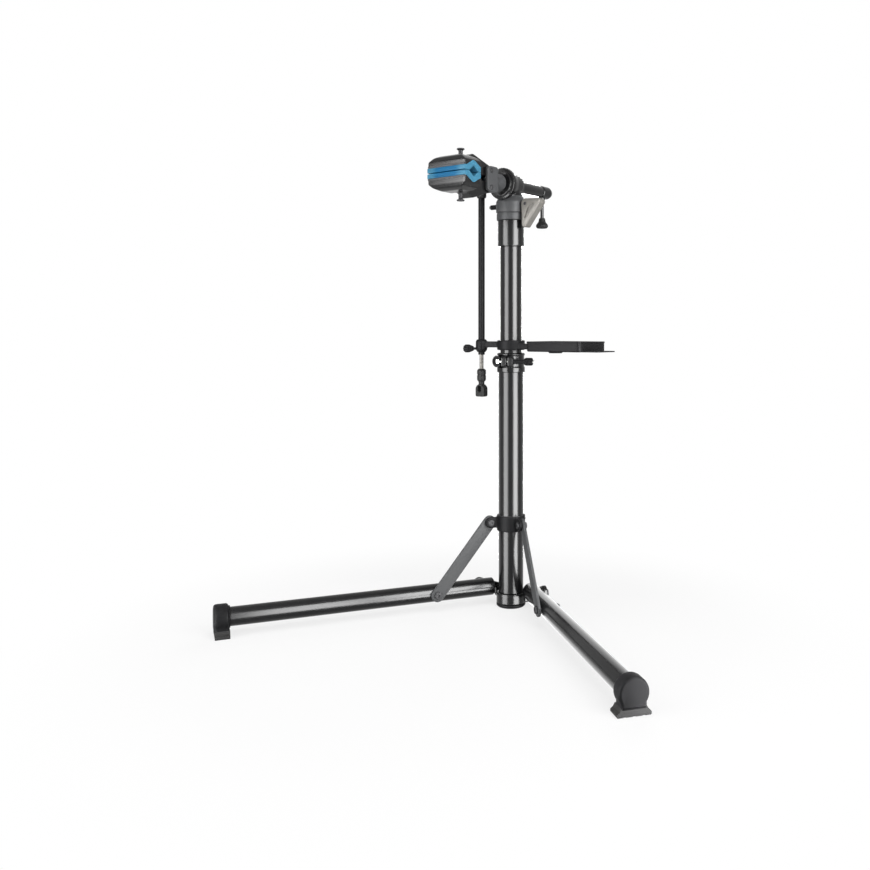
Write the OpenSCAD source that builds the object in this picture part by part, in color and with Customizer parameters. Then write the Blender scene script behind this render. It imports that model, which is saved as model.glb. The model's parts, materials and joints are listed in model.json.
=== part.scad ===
// Folding repair stand: two fold-up legs, a telescoping post, a turning clamp head, a tray and a bar holder.
// Millimetres, +Z up, origin on the floor under the post. The clamp arm points to -Y.

/* [Post] */
// outside diameter of the lower post tube
lower_od = 60; // [50:0.5:70]
// wall of the lower post tube
lower_wall = 2.5; // [1.5:0.1:4]
// height of the lower tube's top edge
lower_top = 600; // [500:5:700]
// outside diameter of the sliding upper tube
upper_od = 52; // [44:0.5:60]
// wall of the upper tube
upper_wall = 2; // [1.5:0.1:4]
// height of the upper tube's lower end
upper_bottom = 150; // [100:5:250]
// height where the upper tube ends inside the head
upper_top = 944; // [850:2:1000]

/* [Legs] */
// angle of each leg from the base's centre line
leg_half = 42; // [35:1:55]
// turn of the base's centre line away from the clamp arm
base_turn = 10; // [-30:1:30]
// outside diameter of a leg tube
leg_od = 42; // [32:1:50]
// wall of a leg tube
leg_wall = 2; // [1.5:0.1:4]
// height of a leg's axis above the floor
leg_h = 40; // [34:1:60]
// sideways offset of a leg from the post's centre plane
leg_off = 40; // [34:1:50]
// distance from the post axis to a leg's hinge
pivot_r = 58; // [50:1:75]
// distance from the post axis to the end of a foot
leg_end = 684; // [550:1:800]

/* [Braces] */
// distance from the brace collar to the brace's upper joint
brace_reach = 15.5; // [14.5:0.5:30]
// height of the brace's joint on the collar
brace_top_z = 204; // [160:1:260]
// distance from the post axis to the brace's lower joint
brace_low_r = 180; // [140:1:220]
// width of a brace bar
brace_w = 32; // [20:1:40]
// thickness of a brace bar
brace_t = 6; // [4:0.5:8]

/* [Head] */
// rise of the clamp arm's axis above the upper tube's end
head_rise = 82; // [76:1:110]
// outside diameter of the clamp arm
arm_od = 29; // [24:0.5:36]
// rear end of the clamp arm tube
arm_rear = 121; // [90:1:160]
// radius of the turning disc
disc_r = 38.5; // [28:0.5:42]
// drop of the locking cross bolt below the clamp arm's axis
lock_drop = 49; // [44:1:54]

/* [Jaws] */
// half the width of the jaws
jaw_half_w = 54; // [40:1:70]
// distance from the post axis to the middle of the gripping channel
channel_y = 210; // [195:1:240]
// height of each jaw's crown above the parting plane
jaw_h = 40; // [34:1:50]
// depth of each pad's groove
groove_h = 12; // [8:0.5:18]
// half the front-to-back width of the groove
groove_w = 15; // [10:0.5:20]

/* [Tray and bar] */
// gap between the height collar and the tray's underside
tray_lift = 5; // [5:1:60]
// length of the tray
tray_len = 153; // [100:1:220]
// width of the tray
tray_w = 118; // [90:1:140]
// height of the tray's walls
tray_h = 24; // [12:1:40]
// distance of the stored bar from the post axis, to the left
bar_x = 78; // [72:1:100]
// distance of the stored bar in front of the post axis
bar_y = 18; // [14:1:30]
// outside diameter of the bar's outer tube
bar_od = 16; // [14:0.5:20]
// length of the bar's outer tube
bar_len = 402; // [250:2:450]

/* [Hidden] */
$fn = 48;
// radial clearance of a running fit, clearance between moving pieces, and overcut of a through hole
run = 0.05;
gap = 0.4;
over = 1;
// tube radii
lower_r = lower_od / 2;
lower_in = lower_r - lower_wall;
upper_r = upper_od / 2;
upper_in = upper_r - upper_wall;
leg_r = leg_od / 2;
leg_in = leg_r - leg_wall;
arm_r = arm_od / 2;
arm_in = arm_r - 5;
bar_r = bar_od / 2;
bar_in = bar_r - 3;
// post foot and leg hub
foot_plate = 8;
foot_r = lower_r + 5.5;
foot_plug_z = foot_plate + 18;
foot_round = 3;
hub_top = leg_h - 6;
lug_in = leg_off + leg_r + gap;
lug_out = lug_in + 10;
lug_r = 18;
lug_rear = -8;
lug_front = 18;
web_in = lower_r - 8;
web_inset = 1;
leg_bolt_r = 5;
bolt_head_r = 9;
head_t = 5;
// legs and feet
leg_clear = 2.4;
leg_start = sqrt(pow(foot_r + leg_clear, 2) - pow(leg_off - leg_r, 2));
root_cap = 3;
leg_root = leg_start + root_cap;
root_plug = 28;
root_plug_end = pivot_r + root_plug;
leg_bolt_depth = 35;
leg_bolt_low = leg_off + leg_r - leg_bolt_depth;
foot_len = 34;
foot_rim = 4;
foot_face = 7;
foot_start = leg_end - foot_len;
foot_bore = 20;
foot_cap_r = leg_r + 8.5;
foot_neck = foot_cap_r - 4.5;
sole_top = 16;
sole_half = foot_cap_r + 3.5;
sole_lip = 6;
sole_edge = 2;
// brace collar and braces
collar_drop = 20;
collar_rise = 18;
collar_low = brace_top_z - collar_drop;
collar_high = brace_top_z + collar_rise;
liner_r = lower_r + 1.5;
collar_r = liner_r + 3;
brace_top_r = collar_r + brace_reach;
brace_out = leg_off - leg_r - 0.6;
brace_in = brace_out - brace_t;
collar_lug_out = brace_in - gap;
collar_lug_in = collar_lug_out - 7.5;
collar_lug_r = 13;
brace_dx = brace_low_r - brace_top_r;
brace_dz = brace_top_z - leg_h;
brace_len = sqrt(brace_dx * brace_dx + brace_dz * brace_dz);
brace_tilt = atan2(brace_dz, brace_dx);
brace_pin_r = 4;
pin_head_r = 8;
pin_head_t = 4;
pin_nut_t = 6;
knob_screw_r = 3;
knob_screw_len = 6;
collar_knob_r = 14;
collar_knob_neck = 7;
collar_knob_len = 26;
// height clamp
clamp_drop = 30;
clamp_rise = 17;
clamp_low = lower_top - clamp_drop;
clamp_high = lower_top + clamp_rise;
clamp_r = lower_r + 4;
clamp_lip_in = upper_r + 0.6;
clamp_turn = 25;
clamp_slot = 30;
ear_drop = 16;
ear_rise = 10;
ear_low = lower_top - ear_drop;
ear_high = lower_top + ear_rise;
ear_root = lower_r + 3;
ear_len = 16;
ear_out = clamp_r + ear_len;
ear_half = 14;
slit = 3;
skewer_y = clamp_r + 8;
skewer_z = lower_top - 3;
skewer_r = 3;
skewer_end = 66;
sleeve_nut_r = 5.5;
sleeve_nut_end = 42;
end_nut_r = 9.5;
end_nut_t = 20;
cam_r = 9.6;
cam_x = ear_half + cam_r + gap;
cam_low = skewer_z - 11;
cam_high = skewer_z + 11;
cam_pin_over = 2;
eye_low = skewer_z - 5;
eye_high = skewer_z + 5;
eye_r = 5;
cam_back = 2.4;
handle_in = clamp_r + 7.5;
handle_out = handle_in + 4.5;
handle_drop = 17;
handle_rise = 15;
handle_low = skewer_z - handle_drop;
handle_high = skewer_z + handle_rise;
handle_from = 165;
handle_to = 237;
handle_step = 6;
bush_h = 60;
// upper tube guide and head
guide_drop = 20;
guide_rise = 22;
guide_low = upper_bottom - guide_drop;
guide_high = upper_bottom + guide_rise;
arm_z = upper_top + head_rise;
lock_z = arm_z - lock_drop;
sleeve_len = 68;
sleeve_low = upper_top - sleeve_len;
sleeve_r = upper_r + 6;
sleeve_top = upper_top - 4;
band_r = sleeve_r + 3;
band_top = upper_top + 12;
groove_r = sleeve_r + 1.5;
lock_neck = sleeve_r + 4.6;
set_screw_low = 19;
set_screw_step = 30;
set_screw_z = [sleeve_low + set_screw_low, sleeve_low + set_screw_low + set_screw_step];
set_screw_r = 3;
set_head_r = 5.5;
set_head_t = 4;
barrel_front = 28;
barrel_rear = 22;
barrel_wall = 18.5;
barrel_taper = 7;
barrel_r1 = arm_r + barrel_wall;
barrel_r2 = barrel_r1 - barrel_taper;
bush_r = arm_r + 2.5;
bush_len = 16;
neck_drop = 14;
neck_top = arm_z - neck_drop;
// arm lock
lock_r = 4;
lever_hub_r = 13;
lever_half = 14;
lever_lobe = [34, 3];
lever_lobe_r = 8;
lever_tip = [-5, -50];
lever_tip_r = 6;
lever_slot = 5.4;
lock_washer = 2;
lock_end = lock_neck + lock_washer + gap + lever_hub_r;
lock_nut_len = 25;
lock_tail_out = 4;
lock_nut_end = lock_neck + lock_nut_len;
lock_tail = lock_nut_end + lock_tail_out;
lock_nut_r = 6;
lock_flange_r = 9.5;
lock_flange_t = 5;
lock_eye_r = 8;
lock_eye_half = 5;
// arm, clamp body and jaws
arm_front = 52;
disc_front = 40;
disc_step = 46;
disc_gap = 0.5;
rear_ring_end = 36;
rear_ring_r = arm_r + 4.5;
neck_r = arm_r + 6.5;
yoke_in = 17;
yoke_out = 25;
yoke_front = 122;
yoke_wall = 80;
yoke_rear = 75;
yoke_h = 30;
pin_head_out = 2.5;
jaw_pin_y = 108;
jaw_pin_z = 20;
jaw_pin_r = 4;
tail_len = 22;
tail_y = jaw_pin_y - tail_len;
tail_z = jaw_pin_z - 7;
wedge_nose = 12;
wedge_ramp = 15;
wedge_len = 30;
wedge_tip = tail_y + wedge_nose;
wedge_full = wedge_tip - wedge_ramp;
wedge_rear = wedge_tip - wedge_len;
wedge_half = 10;
wedge_slope = 0.55;
wedge_gap = 0.5;
wedge_top = tail_z - wedge_gap + wedge_slope * (tail_y - wedge_full);
wedge_low = tail_z - wedge_gap - wedge_slope * (wedge_tip - tail_y);
wedge_travel = 13;
pocket_rear = wedge_rear - wedge_travel;
pad_over = 1.5;
pad_lip = 11.5;
pad_v = groove_h + 12;
pad_flat = 3;
pad_in = groove_w + 9.5;
parting = 0.4;
pad_mouth = 3.4;
mouth_len = 10;
jaw_nose = 16;
jaw_front = channel_y + groove_w + jaw_nose;
jaw_back = channel_y - pad_in;
jaw_lap = 3;
nose_h = 14;
nose_len = 6;
brow_drop = 5;
brow_len = 18;
shoulder_w = 10;
shoulder_drop = 7;
crown_w = 28;
arm_half = yoke_in - gap;
arm_slope = 20;
arm_rise = 11;
arm_peak_y = jaw_back - arm_slope;
arm_peak = jaw_h + arm_rise;
arm_low = 4;
heel_h = 14;
pad_screw_y = jaw_back + 4.5;
pad_screw_r = 3;
pad_screw_low = pad_lip;
pad_neck_r = 6;
pad_neck_h = 17;
pad_flange_r = 9;
pad_flange_t = 3;
// crank
screw_r = 5;
screw_front = 84;
screw_past = 30;
screw_rear = arm_rear + screw_past;
tail_bush_len = 20;
hub_front = arm_rear + disc_gap;
hub_len = 45;
hub_rear = arm_rear + hub_len;
hub_r = 16;
hub_round = 2;
hub_taper = 13;
hub_tip = 4;
stem_out = 11;
stem_y = arm_rear + stem_out;
stem_r = 4.5;
stem_flare_r = 9;
stem_flare_low = 26;
stem_flare_h = 14;
knob_top = 66;
knob_low = 92;
knob_r = 15.5;
knob_bore = 14;
knob_edge = 3;
knob_side = 9;
knob_waist = 18;
// tray and bar
ring_r = upper_r + 8;
tray_z = clamp_high + tray_lift;
ring_lift = 2;
ring_h = 24;
ring_low = tray_z + ring_lift;
ring_high = ring_low + ring_h;
tray_reach = 50;
tray_x = ring_r + tray_reach;
tray_arm_w = 28;
tray_arm_low = tray_z + 4;
tray_arm_h = 14;
tray_floor = 2.5;
tray_corner = 12;
tray_lip_len = 38;
tray_lip_w = 80;
tray_boss_x = 48;
tray_boss_r = 17;
tray_boss_h = 4;
bar_drop = 10;
bar_low = tray_z - bar_drop;
bar_top = bar_low + bar_len;
bar_reach = sqrt(bar_x * bar_x + bar_y * bar_y);
bar_turn = 180 + atan2(bar_y, bar_x);
bar_arm_w = 14;
bar_arm_low = tray_z + 8;
bar_arm_h = 15;
clip_r = bar_r + 6.5;
clip_drop = 4;
clip_h = 32;
clip_low = tray_z - clip_drop;
clip_high = clip_low + clip_h;
clip_screw_z = tray_z + 5;
clip_screw_r = 3;
clip_screw_len = 14;
clip_knob_r = 10;
clip_knob_neck = 6;
clip_knob_len = 25;
rod_show = 49;
rod_low = bar_low - rod_show;
rod_len = 337;
cradle_grip = 14;
cradle_top = rod_low + cradle_grip;
cradle_r = bar_in + 6;
cradle_round = 4;
cradle_blob = 32;
cradle_neck_r = bar_in + 2;
cradle_w = 13;
cradle_loop = 51;
cradle_end = 69;
cradle_half = 9;
loop_r = 5.5;
loop_low = 47;
loop_high = 53;
cap_low = 14;
cap_lip = 2;
cap_round = 3;
cap_r = bar_r + 4;
cap_high = 12;

black = [0.08, 0.08, 0.09];
grey = [0.3, 0.3, 0.32];
silver = [0.75, 0.76, 0.78];
blue = [0.1, 0.45, 0.85];
rubber = [0.06, 0.06, 0.06];
alloy = [0.62, 0.62, 0.6];

// round bar along X
module bar_along_x(r, x0, x1, y, z) {
    translate([x0, y, z]) rotate([0, 90, 0]) cylinder(r = r, h = x1 - x0);
}

// round bar along Y
module bar_along_y(r, y0, y1, x, z) {
    translate([x, y1, z]) rotate([90, 0, 0]) cylinder(r = r, h = y1 - y0);
}

// ring about Z
module ring(r_out, r_in, z0, z1) {
    translate([0, 0, z0]) difference() {
        cylinder(r = r_out, h = z1 - z0);
        translate([0, 0, -1]) cylinder(r = r_in, h = z1 - z0 + 2);
    }
}

// ring about the clamp arm's axis, from y0 to y1
module arm_ring(r_out, r_in, y0, y1) {
    difference() {
        bar_along_y(r_out, y0, y1, 0, arm_z);
        bar_along_y(r_in, y0 - 1, y1 + 1, 0, arm_z);
    }
}

// outline in Y and Z, drawn out along X
module slab_yz(points, x0, x1) {
    translate([x0, 0, 0]) rotate([90, 0, 90]) linear_extrude(x1 - x0) polygon(points);
}

// outline in X and Z, drawn out along Y
module slab_xz(y0, y1) {
    translate([0, y1, 0]) rotate([90, 0, 0]) linear_extrude(y1 - y0) children();
}

// six-sided head or nut along Y
module hex_along_y(r, y0, y1, x, z) {
    translate([x, y1, z]) rotate([90, 0, 0]) cylinder(r = r, h = y1 - y0, $fn = 6);
}

// leg frames: X runs out along the leg, Y points to the leg's outer side
module right_frame() {
    rotate([0, 0, base_turn + leg_half - 90]) children();
}

module left_frame() {
    rotate([0, 0, base_turn]) mirror([1, 0, 0]) rotate([0, 0, leg_half - 90]) children();
}

module lower_tube() {
    color(black) difference() {
        ring(lower_r, lower_in, foot_plate, lower_top);
        rotate([0, 0, clamp_turn]) translate([-slit / 2, -lower_r - over, lower_top - clamp_slot]) {
            cube([slit, lower_r, clamp_slot + over]);
        }
    }
}

module post_foot() {
    color(rubber) rotate_extrude() polygon([
        [0, 0], [foot_r - foot_round, 0], [foot_r, foot_round], [foot_r, foot_plate],
        [lower_in, foot_plate], [lower_in, foot_plug_z], [0, foot_plug_z]
    ]);
}

// arm of the hub that reaches behind a leg to the lug on the leg's outer side
module hub_lug() {
    difference() {
        union() {
            slab_xz(lug_in, lug_out) {
                translate([pivot_r, leg_h]) circle(r = lug_r);
                polygon([
                    [lug_rear, foot_plate], [pivot_r, leg_h - lug_r],
                    [pivot_r, leg_h + lug_r], [lug_rear, hub_top]
                ]);
            }
            translate([lug_rear + web_inset, web_in, foot_plate + web_inset]) {
                cube([lug_front - lug_rear, lug_out - web_in - web_inset, hub_top - foot_plate - 2 * web_inset]);
            }
        }
        bar_along_y(leg_bolt_r, lug_in - over, lug_out + over, pivot_r, leg_h);
    }
}

module leg_hub() {
    color(black) difference() {
        union() {
            translate([0, 0, foot_plate]) cylinder(r = foot_r, h = hub_top - foot_plate);
            right_frame() hub_lug();
            left_frame() hub_lug();
        }
        cylinder(r = lower_r, h = 2 * leg_h);
    }
}

module leg_bolt() {
    bar_along_y(leg_bolt_r, leg_bolt_low + gap, lug_out + head_t, pivot_r, leg_h);
    hex_along_y(bolt_head_r, lug_out, lug_out + head_t, pivot_r, leg_h);
}

module leg_pivot_bolts() {
    color(grey) {
        right_frame() leg_bolt();
        left_frame() leg_bolt();
    }
}

module height_collar() {
    color(black) rotate([0, 0, clamp_turn]) difference() {
        union() {
            ring(clamp_r, lower_r, clamp_low, lower_top);
            rotate_extrude() polygon([
                [clamp_lip_in, lower_top], [clamp_r, lower_top], [clamp_r, clamp_high - slit],
                [clamp_r - slit, clamp_high], [clamp_lip_in, clamp_high]
            ]);
            for (side = [-1, 1]) {
                mid_x = side * (ear_half + slit / 2) / 2;
                translate([mid_x, -(ear_out + ear_root) / 2, (ear_low + ear_high) / 2]) {
                    cube([ear_half - slit / 2, ear_out - ear_root, ear_high - ear_low], center = true);
                }
            }
        }
        translate([-slit / 2, -ear_out - over, clamp_low - over]) {
            cube([slit, ear_out - upper_r + over, clamp_high - clamp_low + 2 * over]);
        }
        bar_along_x(skewer_r, -ear_half - over, ear_half + over, -skewer_y, skewer_z);
    }
}

module height_bush() {
    color(grey) ring(lower_in, upper_r + run, lower_top - bush_h, lower_top);
}

module height_skewer() {
    color(silver) rotate([0, 0, clamp_turn]) difference() {
        union() {
            bar_along_x(skewer_r, -cam_x, skewer_end, -skewer_y, skewer_z);
            translate([-cam_x, -skewer_y, eye_low]) cylinder(r = eye_r, h = eye_high - eye_low);
        }
        translate([-cam_x, -skewer_y, eye_low - over]) {
            cylinder(r = skewer_r, h = eye_high - eye_low + 2 * over);
        }
    }
}

module height_nut() {
    color(grey) rotate([0, 0, clamp_turn]) difference() {
        union() {
            bar_along_x(sleeve_nut_r, ear_half, sleeve_nut_end, -skewer_y, skewer_z);
            translate([sleeve_nut_end, -skewer_y, skewer_z]) rotate([0, 90, 0]) {
                cylinder(r = end_nut_r, h = end_nut_t, $fn = 6);
            }
        }
        bar_along_x(skewer_r, 0, skewer_end, -skewer_y, skewer_z);
    }
}

module height_pin() {
    color(silver) rotate([0, 0, clamp_turn]) translate([-cam_x, -skewer_y, cam_low - cam_pin_over]) {
        cylinder(r = skewer_r, h = cam_high - cam_low + 2 * cam_pin_over);
    }
}

module height_lever() {
    color(black) rotate([0, 0, clamp_turn]) difference() {
        union() {
            translate([-cam_x, -skewer_y, cam_low]) cylinder(r = cam_r, h = cam_high - cam_low);
            intersection() {
                ring(handle_out, handle_in, handle_low, handle_high);
                translate([0, 0, handle_low]) linear_extrude(handle_high - handle_low) polygon([
                    [0, 0],
                    for (a = [handle_from : handle_step : handle_to]) 2 * handle_out * [cos(a), sin(a)]
                ]);
            }
        }
        translate([-cam_x, -skewer_y, handle_low - over]) cylinder(r = skewer_r + run, h = 2 * clamp_r);
        translate([-cam_x - cam_r + cam_back, -skewer_y - cam_r - over, eye_low - gap]) {
            cube([2 * cam_r, 2 * cam_r + 2 * over, eye_high - eye_low + 2 * gap]);
        }
        translate([0, 0, handle_low - over]) cylinder(r = clamp_r + over, h = 2 * clamp_r);
        translate([-ear_half - gap, -ear_out - cam_r, handle_low - over]) cube(2 * clamp_r);
    }
}

module collar_lug() {
    difference() {
        slab_xz(collar_lug_in, collar_lug_out) {
            translate([brace_top_r, brace_top_z]) circle(r = collar_lug_r);
            translate([lower_r, brace_top_z - collar_lug_r]) {
                square([brace_top_r - lower_r, 2 * collar_lug_r]);
            }
        }
        bar_along_y(brace_pin_r, collar_lug_in - over, leg_off, brace_top_r, brace_top_z);
    }
}

module brace_collar() {
    color(black) difference() {
        union() {
            translate([0, 0, collar_low]) cylinder(r = collar_r, h = collar_high - collar_low);
            right_frame() collar_lug();
            left_frame() collar_lug();
        }
        translate([0, 0, collar_low - over]) cylinder(r = liner_r, h = 2 * collar_r);
        rotate([0, 0, base_turn]) bar_along_y(knob_screw_r + run, lower_r, collar_r + over, 0, brace_top_z);
    }
}

module collar_liner() {
    color(grey) difference() {
        ring(liner_r, lower_r + run, collar_low, collar_high);
        rotate([0, 0, base_turn]) bar_along_y(knob_screw_r + gap, 0, liner_r + over, 0, brace_top_z);
    }
}

module brace_pin() {
    pin_start = collar_lug_in - pin_head_t;
    nut_start = brace_out + gap;
    nut_end = nut_start + pin_nut_t;
    bar_along_y(brace_pin_r, pin_start, nut_end, brace_top_r, brace_top_z);
    bar_along_y(pin_head_r, pin_start, collar_lug_in, brace_top_r, brace_top_z);
    hex_along_y(pin_head_r, nut_start, nut_end, brace_top_r, brace_top_z);
}

module brace_pins() {
    color(grey) {
        right_frame() brace_pin();
        left_frame() brace_pin();
    }
}

module collar_knob() {
    color(black) rotate([0, 0, base_turn]) translate([0, lower_r + gap, brace_top_z]) rotate([-90, 0, 0]) {
        rotate_extrude() polygon([
            [0, 0], [knob_screw_r, 0], [knob_screw_r, knob_screw_len],
            [collar_knob_neck, knob_screw_len + 2 * over], [collar_knob_r, knob_screw_len + 5 * over],
            [collar_knob_r, collar_knob_len - 4 * over], [collar_knob_r - 3 * over, collar_knob_len],
            [0, collar_knob_len]
        ]);
    }
}

module leg_tube() {
    difference() {
        bar_along_x(leg_r, leg_root, foot_start + foot_bore, leg_off, leg_h);
        bar_along_x(leg_in, leg_root - over, leg_end, leg_off, leg_h);
        bar_along_y(leg_bolt_r, 0, 2 * leg_off, brace_low_r, leg_h);
        bar_along_y(leg_bolt_r + run, leg_off, lug_in, pivot_r, leg_h);
    }
}

// plug in a leg's inner end, drilled from the outer side for the hinge bolt
module leg_root_fitting() {
    difference() {
        union() {
            bar_along_x(leg_in, leg_root, root_plug_end, leg_off, leg_h);
            translate([leg_start, leg_off, leg_h]) rotate([0, 90, 0]) {
                cylinder(r1 = leg_r - root_cap, r2 = leg_r, h = root_cap);
            }
        }
        bar_along_y(leg_bolt_r + run, leg_bolt_low, lug_in, pivot_r, leg_h);
    }
}

module foot_cap() {
    difference() {
        union() {
            translate([foot_start, leg_off, leg_h]) rotate([0, 90, 0]) rotate_extrude() polygon([
                [0, 0], [foot_cap_r - foot_rim, 0], [foot_cap_r, foot_rim],
                [foot_cap_r, foot_len - foot_face],
                [foot_cap_r - foot_rim, foot_len - over], [foot_cap_r - foot_face, foot_len], [0, foot_len]
            ]);
            translate([foot_start + sole_edge, leg_off - foot_neck, sole_top]) {
                cube([foot_len - 3 * sole_edge, 2 * foot_neck, leg_h - sole_top]);
            }
        }
        bar_along_x(leg_r, foot_start - over, foot_start + foot_bore, leg_off, leg_h);
        translate([foot_start - over, leg_off - sole_half, -leg_h]) {
            cube([foot_len + 2 * over, 2 * sole_half, sole_top + leg_h]);
        }
    }
}

module foot_sole() {
    translate([foot_start, leg_off, 0]) rotate([90, 0, 90]) linear_extrude(foot_len - sole_edge) polygon([
        [-sole_half + sole_edge, 0], [sole_half - sole_edge, 0],
        [sole_half, sole_edge], [sole_half, sole_lip],
        [foot_neck, sole_top], [-foot_neck, sole_top],
        [-sole_half, sole_lip], [-sole_half, sole_edge]
    ]);
}

module leg_brace_bolt() {
    bar_along_y(leg_bolt_r, leg_off - leg_r + gap, leg_off + leg_r, brace_low_r, leg_h);
    hex_along_y(bolt_head_r, leg_off + leg_r, leg_off + leg_r + head_t, brace_low_r, leg_h);
}

module brace_bar() {
    translate([brace_top_r, 0, brace_top_z]) rotate([0, brace_tilt, 0]) slab_xz(brace_in, brace_out) {
        difference() {
            union() {
                translate([0, -brace_w / 2]) square([brace_len, brace_w]);
                circle(d = brace_w);
                translate([brace_len, 0]) circle(d = brace_w);
            }
            circle(r = brace_pin_r + run);
            translate([brace_len, 0]) circle(r = leg_bolt_r);
        }
    }
}

module brace_stud() {
    bar_along_y(leg_bolt_r, brace_in, brace_out, brace_low_r, leg_h);
    bar_along_y(bolt_head_r, brace_in - head_t, brace_in, brace_low_r, leg_h);
}

module left_leg_tube() {
    color(black) left_frame() leg_tube();
}

module right_leg_tube() {
    color(black) right_frame() leg_tube();
}

module left_leg_root() {
    color(black) left_frame() leg_root_fitting();
}

module right_leg_root() {
    color(black) right_frame() leg_root_fitting();
}

module left_foot_cap() {
    color(black) left_frame() foot_cap();
}

module right_foot_cap() {
    color(black) right_frame() foot_cap();
}

module left_foot_sole() {
    color(rubber) left_frame() foot_sole();
}

module right_foot_sole() {
    color(rubber) right_frame() foot_sole();
}

module left_brace_bolt() {
    color(grey) left_frame() leg_brace_bolt();
}

module right_brace_bolt() {
    color(grey) right_frame() leg_brace_bolt();
}

module left_brace() {
    color(grey) left_frame() brace_bar();
}

module right_brace() {
    color(grey) right_frame() brace_bar();
}

module left_brace_stud() {
    color(grey) left_frame() brace_stud();
}

module right_brace_stud() {
    color(grey) right_frame() brace_stud();
}

module upper_tube() {
    color(black) ring(upper_r, upper_in, upper_bottom, upper_top);
}

module guide_plug() {
    color(grey) rotate_extrude() polygon([
        [0, guide_low], [lower_in - run, guide_low], [lower_in - run, guide_high], [upper_r, guide_high],
        [upper_r, upper_bottom], [upper_in, upper_bottom], [upper_in, guide_high], [0, guide_high]
    ]);
}

module head_casting() {
    color(black) difference() {
        union() {
            rotate_extrude() polygon([
                [0, sleeve_low], [sleeve_r, sleeve_low], [sleeve_r, sleeve_top], [band_r, sleeve_top + over],
                [band_r, band_top], [groove_r, band_top + over], [groove_r, band_top + 3 * over],
                [band_r + over, band_top + 4 * over], [lock_neck, lock_z - lock_flange_r],
                [lock_neck, lock_z + lock_flange_r], [barrel_r1 - 2, arm_z - barrel_r2],
                [barrel_r2 + over, neck_top], [0, neck_top]
            ]);
            translate([0, barrel_rear, arm_z]) rotate([90, 0, 0]) {
                cylinder(r1 = barrel_r2, r2 = barrel_r1, h = barrel_rear + barrel_front);
            }
        }
        translate([0, 0, sleeve_low - over]) cylinder(r = upper_r, h = upper_top - sleeve_low + over);
        bar_along_y(bush_r, -arm_front, arm_front, 0, arm_z);
        bar_along_y(disc_r + over, -arm_front, -barrel_front, 0, arm_z);
        bar_along_y(rear_ring_r + over, barrel_rear, arm_front, 0, arm_z);
        bar_along_x(lock_r, -lock_tail, lock_tail, 0, lock_z);
        translate([-slit / 2, -arm_front, band_top + 4 * over]) cube([slit, 2 * arm_front, arm_z - band_top]);
        for (z = set_screw_z) bar_along_y(set_screw_r, 0, lock_neck, 0, z);
    }
}

module barrel_bushes() {
    color(grey) {
        arm_ring(bush_r, arm_r + run, -barrel_front, -barrel_front + bush_len);
        arm_ring(bush_r, arm_r + run, barrel_rear - bush_len, barrel_rear);
    }
}

module socket_screws() {
    color(silver) for (z = set_screw_z) {
        bar_along_y(set_screw_r, upper_r, sleeve_r + over, 0, z);
        bar_along_y(set_head_r, sleeve_r, sleeve_r + set_head_t, 0, z);
    }
}

module lock_skewer() {
    color(silver) difference() {
        union() {
            bar_along_x(lock_r, -lock_tail, lock_end, 0, lock_z);
            bar_along_y(lock_eye_r, -lock_eye_half, lock_eye_half, lock_end, lock_z);
        }
        bar_along_y(lock_r, -lock_eye_half - over, lock_eye_half + over, lock_end, lock_z);
    }
}

module lock_nut() {
    color(black) difference() {
        union() {
            bar_along_x(lock_nut_r, -lock_nut_end, -lock_neck, 0, lock_z);
            bar_along_x(lock_flange_r, -lock_neck - lock_flange_t, -lock_neck, 0, lock_z);
            bar_along_x(lock_flange_r, lock_neck, lock_neck + lock_washer, 0, lock_z);
        }
        bar_along_x(lock_r, -lock_tail, lock_tail, 0, lock_z);
    }
}

module lock_pin() {
    color(black) bar_along_y(lock_r, -lever_half - over, lever_half + over, lock_end, lock_z);
}

module lock_lever() {
    color(alloy) difference() {
        slab_xz(-lever_half, lever_half) hull() {
            translate([lock_end, lock_z]) circle(r = lever_hub_r, $fn = 32);
            translate([lock_end, lock_z] + lever_lobe) circle(r = lever_lobe_r, $fn = 32);
            translate([lock_end, lock_z] + lever_tip) circle(r = lever_tip_r, $fn = 32);
        }
        bar_along_y(lock_r + run, -lever_half - over, lever_half + over, lock_end, lock_z);
        translate([lock_end - lever_hub_r - over, -lever_slot, lock_z - lever_hub_r]) {
            cube([lever_hub_r + lock_eye_r + 2 * over, 2 * lever_slot, 2 * (lever_hub_r + over)]);
        }
        translate([0, 0, sleeve_low]) cylinder(r = lock_neck + over, h = neck_top - sleeve_low);
    }
}

module arm_tube() {
    color(black) arm_ring(arm_r, arm_in, -arm_front, arm_rear);
}

module turn_disc() {
    color(black) difference() {
        union() {
            bar_along_y(disc_r, -disc_front, -barrel_front - disc_gap, 0, arm_z);
            bar_along_y(disc_r - 6, -disc_step, -disc_front, 0, arm_z);
        }
        bar_along_y(arm_r, -arm_front, 0, 0, arm_z);
    }
}

module rear_ring() {
    color(black) arm_ring(rear_ring_r, arm_r, barrel_rear + disc_gap, rear_ring_end);
}

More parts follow.
